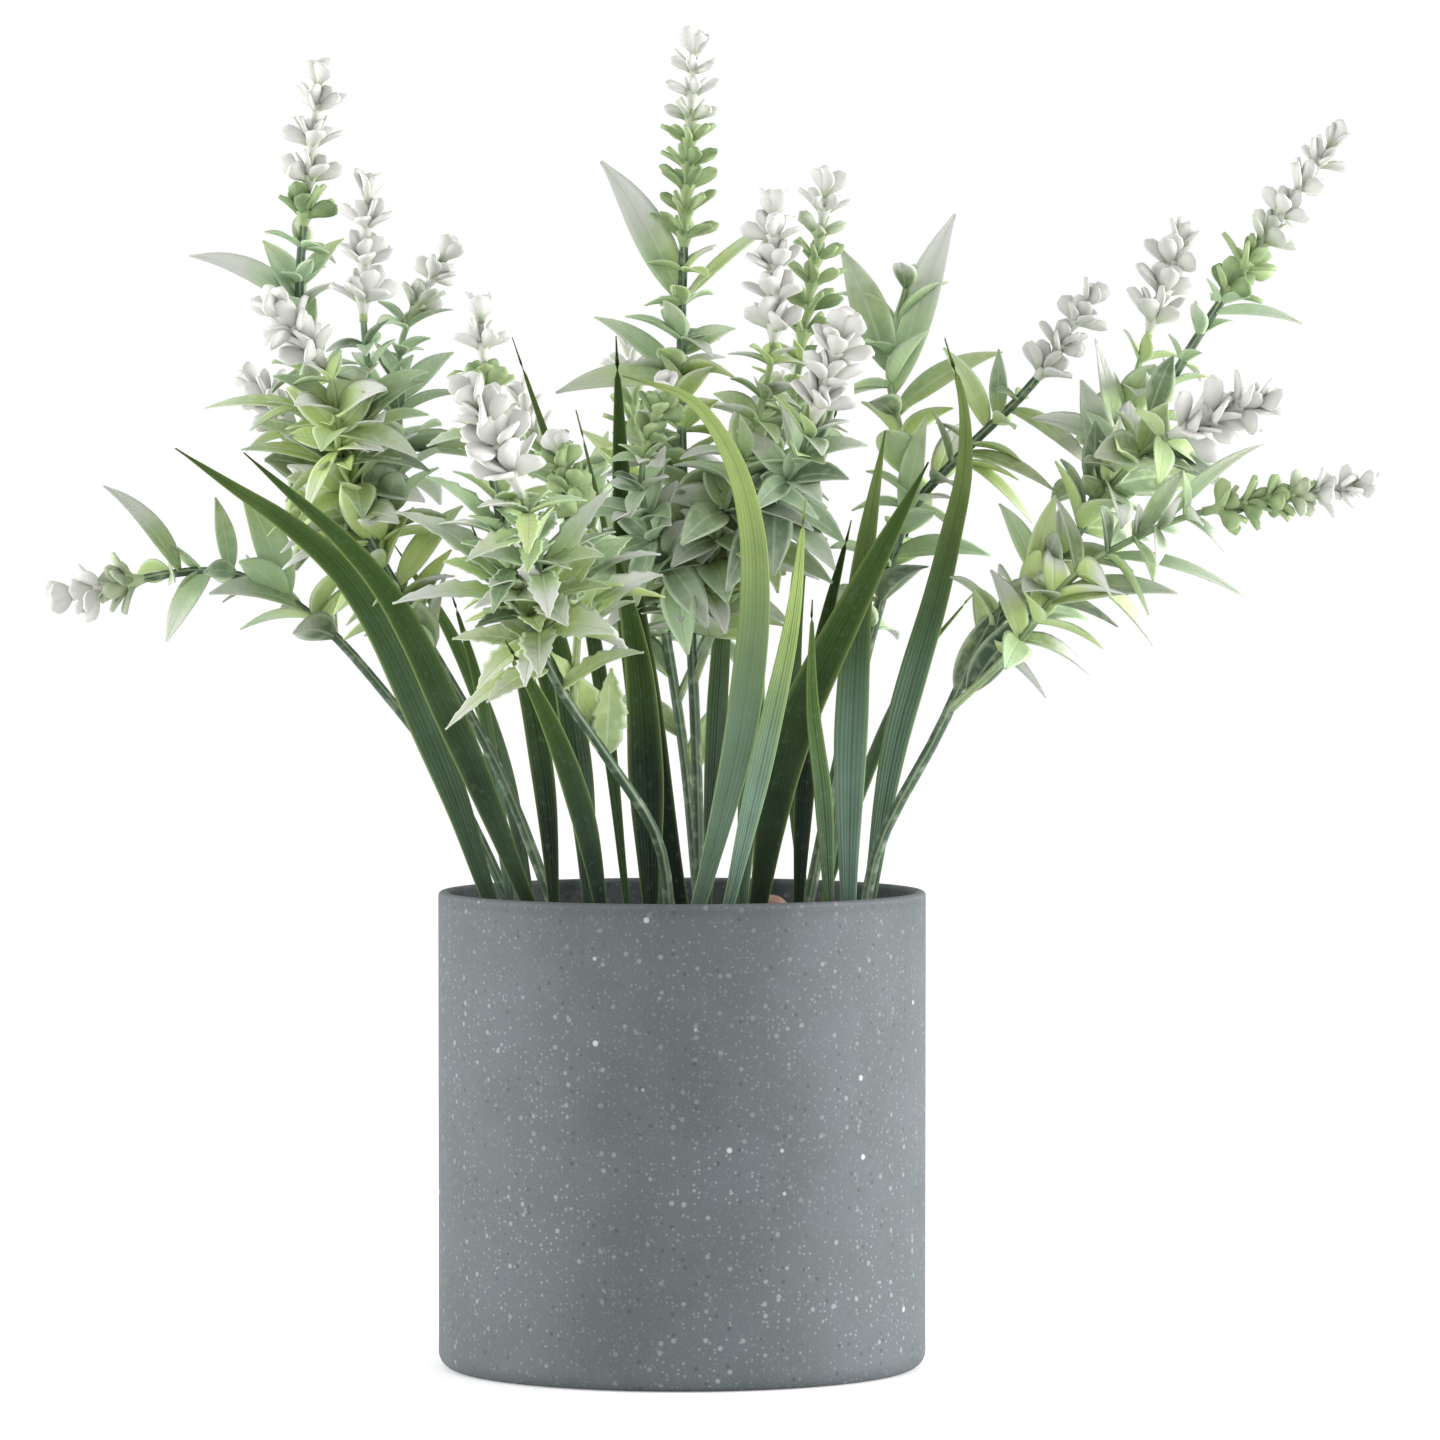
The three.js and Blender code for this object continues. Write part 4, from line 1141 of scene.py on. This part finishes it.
class PLANT_OT_flower_spikes(bpy.types.Operator):
    """Set the florets round every flower spike"""

    bl_idname = "plant.flower_spikes"
    bl_label = "Flower spikes"

    def execute(self, context):
        settings = context.scene.plant_flower
        material = flower_finish(settings)
        spikes = sorted(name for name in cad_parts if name.startswith("flower_spike_"))
        for number, node in enumerate(spikes):
            look = SPIKE_LOOKS.get(node.removeprefix("flower_spike_"), USUAL_SPIKE)
            self.grow(node, look, random.Random(200 + number), settings, material)
        return {"FINISHED"}

    def grow(self, node, look, chance, settings, material):
        spacing, size, white_from = look
        rings = read_rings(node, 7)
        route = Route(smooth_line([middle_of(ring) for ring in rings]))
        bm = new_growth()
        axis = Route([route.at(0.0) - route.heading(0.0) * 1 * MM] + route.line)
        girth = taper(0.85 * MM, 0.5 * MM)
        axis_white_from = max(white_from, 0.3)

        def axis_pale(share):
            return smoothstep(share, axis_white_from, axis_white_from + 0.3) * 0.8

        add_bar(bm, axis, SPIKE_AXIS_DETAIL, girth, girth, BUD_FACING, pale=axis_pale, tone=0.7)
        whorls = max(2, round(route.length / (spacing * MM)))
        angle = chance.uniform(0, math.tau)
        for whorl in range(whorls):
            share = (whorl + 0.35) / whorls * TOP_SHARE
            white = smoothstep(share, white_from - 0.25, white_from + 0.15)
            shrunk = size * (1.05 - 0.2 * share)
            self.add_whorl(bm, route, share, angle, shrunk, white, spacing > 5, chance, settings)
            angle += math.radians(45) + chance.uniform(-0.2, 0.2)
        for petal in range(TOP_PETALS):
            turn = angle + petal * math.tau / TOP_PETALS
            lift = math.radians(chance.uniform(52, 75))
            self.add_petal(bm, route, TOP_SHARE, turn, lift, size * 0.85, 1.25, 1.0, chance, settings)
        hand_over(finished_piece(f"{node}_look", bm, material), "flower", node)

    def add_whorl(self, bm, route, share, angle, size, white, is_open, chance, settings):
        """Adds a bud with a ring of petals, and an inner ring where the floret is open."""
        ahead = route.heading(share)
        centre = route.at(share)
        bud = Route([centre - ahead * 2.4 * MM * size, centre, centre + ahead * 1.2 * MM * size])

        def girth(part):
            return (0.45 + 1.1 * part * part) * MM * size

        add_bar(bm, bud, BUD_DETAIL, girth, girth, BUD_FACING, pale=even(white * 0.7), tone=0.8)
        petals = OPEN_PETALS if is_open else CLOSED_PETALS
        broad = 1.1 if is_open else 0.75
        for petal in range(petals):
            turn = angle + petal * math.tau / petals + chance.uniform(-0.15, 0.15)
            lift = math.radians(chance.uniform(22, 42))
            self.add_petal(bm, route, share, turn, lift, size, broad, white, chance, settings)
        if is_open:
            for petal in range(INNER_PETALS):
                turn = angle + 0.6 + petal * math.tau / INNER_PETALS + chance.uniform(-0.2, 0.2)
                lift = math.radians(chance.uniform(52, 70))
                self.add_petal(bm, route, share, turn, lift, size * 0.95, broad, white, chance, settings)

    def add_petal(self, bm, route, share, turn, lift, size, broad, white, chance, settings):
        ahead = route.heading(share)
        aside = ahead.orthogonal().normalized()
        out = aside * math.cos(turn) + ahead.cross(aside) * math.sin(turn)
        length = settings.petal_length * size * chance.uniform(0.85, 1.1)
        reach = (out * math.cos(lift) + ahead * math.sin(lift)) * length
        flat = ahead * math.cos(lift) - out * math.sin(lift)
        roll = chance.uniform(-1.2, 1.2)
        facing = flat * math.cos(roll) + reach.normalized().cross(flat) * math.sin(roll)
        base = route.at(share)
        line = bowed_route(base, base + reach, flat * (0.08 * length), 6)
        outline = petal_outline(settings.petal_width / 2 * size * broad * chance.uniform(0.85, 1.1))
        depth = taper(settings.petal_thickness / 2, settings.petal_thickness / 3)

        def pale(part):
            return white * (0.45 + 0.55 * smoothstep(part, 0.15, 0.6))

        tone = chance.uniform(0.3, 1.0)
        add_bar(bm, line, PETAL_DETAIL, outline, depth, even(facing), 0.12, pale, tone)


# ---------------------------------------------------------------- stage


AIM = Vector((7 * MM, 0, 119.5 * MM))
LENS = 217
LIGHT_SIZE = 0.8
LEFT_PLACE = Vector((-1.0, -0.05, 0.25))
RIGHT_PLACE = Vector((1.0, -0.05, 0.25))
WHITE = (1.0, 1.0, 1.0, 1.0)


def add_light(name, place, power):
    light = bpy.data.lights.new(name, "AREA")
    light.shape = "SQUARE"
    light.size = LIGHT_SIZE
    light.energy = power
    lamp = bpy.data.objects.new(name, light)
    lamp.location = place
    lamp.rotation_euler = (AIM - place).to_track_quat("-Z", "Y").to_euler()
    bpy.context.scene.collection.objects.link(lamp)


class PLANT_OT_stage(bpy.types.Operator):
    """Set the pale floor, the two side lights, the bright surroundings and the camera"""

    bl_idname = "plant.stage"
    bl_label = "Stage"

    def execute(self, context):
        scene = context.scene
        settings = scene.plant_stage
        bm = bmesh.new()
        bmesh.ops.create_grid(bm, x_segments=1, y_segments=1, size=settings.floor_size / 2)
        finish = Finish("floor", Specular_IOR_Level=0.0, Roughness=0.9, Emission_Strength=0.2)
        finish.shader.inputs["Emission Color"].default_value = WHITE
        finish.colour(finish.mix(finish.noise(0.5, 2.0), (0.82, 0.82, 0.82), (0.84, 0.84, 0.84)))
        floor = finished_piece("floor", bm, finish.material, smooth=False)

        add_light("left_light", LEFT_PLACE, settings.left_power)
        add_light("right_light", RIGHT_PLACE, settings.right_power)

        world = bpy.data.worlds.new("studio")
        world.use_nodes = True
        backdrop = world.node_tree.nodes["Background"]
        backdrop.inputs["Color"].default_value = WHITE
        backdrop.inputs["Strength"].default_value = 1.0
        scene.world = world

        camera_data = bpy.data.cameras.new("camera")
        camera_data.lens = LENS
        camera_data.sensor_width = 36
        camera = bpy.data.objects.new("camera", camera_data)
        camera.location = Vector((0, -settings.camera_distance, settings.camera_height))
        camera.rotation_euler = (AIM - camera.location).to_track_quat("-Z", "Y").to_euler()
        scene.collection.objects.link(camera)
        scene.camera = camera
        scene.view_settings.view_transform = "Standard"
        return {"FINISHED"}


class PLANT_PT_panel(bpy.types.Panel):
    """Lists the settings and the pieces of the plant"""

    bl_label = "Potted flowering plant"
    bl_idname = "PLANT_PT_panel"
    bl_space_type = "VIEW_3D"
    bl_region_type = "UI"
    bl_category = "Plant"

    def draw(self, context):
        scene = context.scene
        for settings in (scene.plant_pot, scene.plant_leaf, scene.plant_flower, scene.plant_stage):
            box = self.layout.box()
            for name in settings.__annotations__:
                box.prop(settings, name)
        for operator in OPERATORS:
            self.layout.operator(operator.bl_idname)


GROUPS = {
    "plant_pot": PlantPotSettings,
    "plant_leaf": PlantLeafSettings,
    "plant_flower": PlantFlowerSettings,
    "plant_stage": PlantStageSettings,
}
OPERATORS = (
    PLANT_OT_pot,
    PLANT_OT_soil,
    PLANT_OT_pebble,
    PLANT_OT_grass,
    PLANT_OT_leafy_stems,
    PLANT_OT_flower_spikes,
    PLANT_OT_stage,
)


def register():
    for name, group in GROUPS.items():
        bpy.utils.register_class(group)
        setattr(bpy.types.Scene, name, PointerProperty(type=group))
    for operator in OPERATORS:
        bpy.utils.register_class(operator)
    bpy.utils.register_class(PLANT_PT_panel)


def unregister():
    bpy.utils.unregister_class(PLANT_PT_panel)
    for operator in reversed(OPERATORS):
        bpy.utils.unregister_class(operator)
    for name, group in GROUPS.items():
        delattr(bpy.types.Scene, name)
        bpy.utils.unregister_class(group)


def main():
    register()
    bpy.ops.plant.pot()
    bpy.ops.plant.soil()
    bpy.ops.plant.pebble()
    bpy.ops.plant.grass()
    bpy.ops.plant.leafy_stems()
    bpy.ops.plant.flower_spikes()
    bpy.ops.plant.stage()


if __name__ == "__main__":
    main()
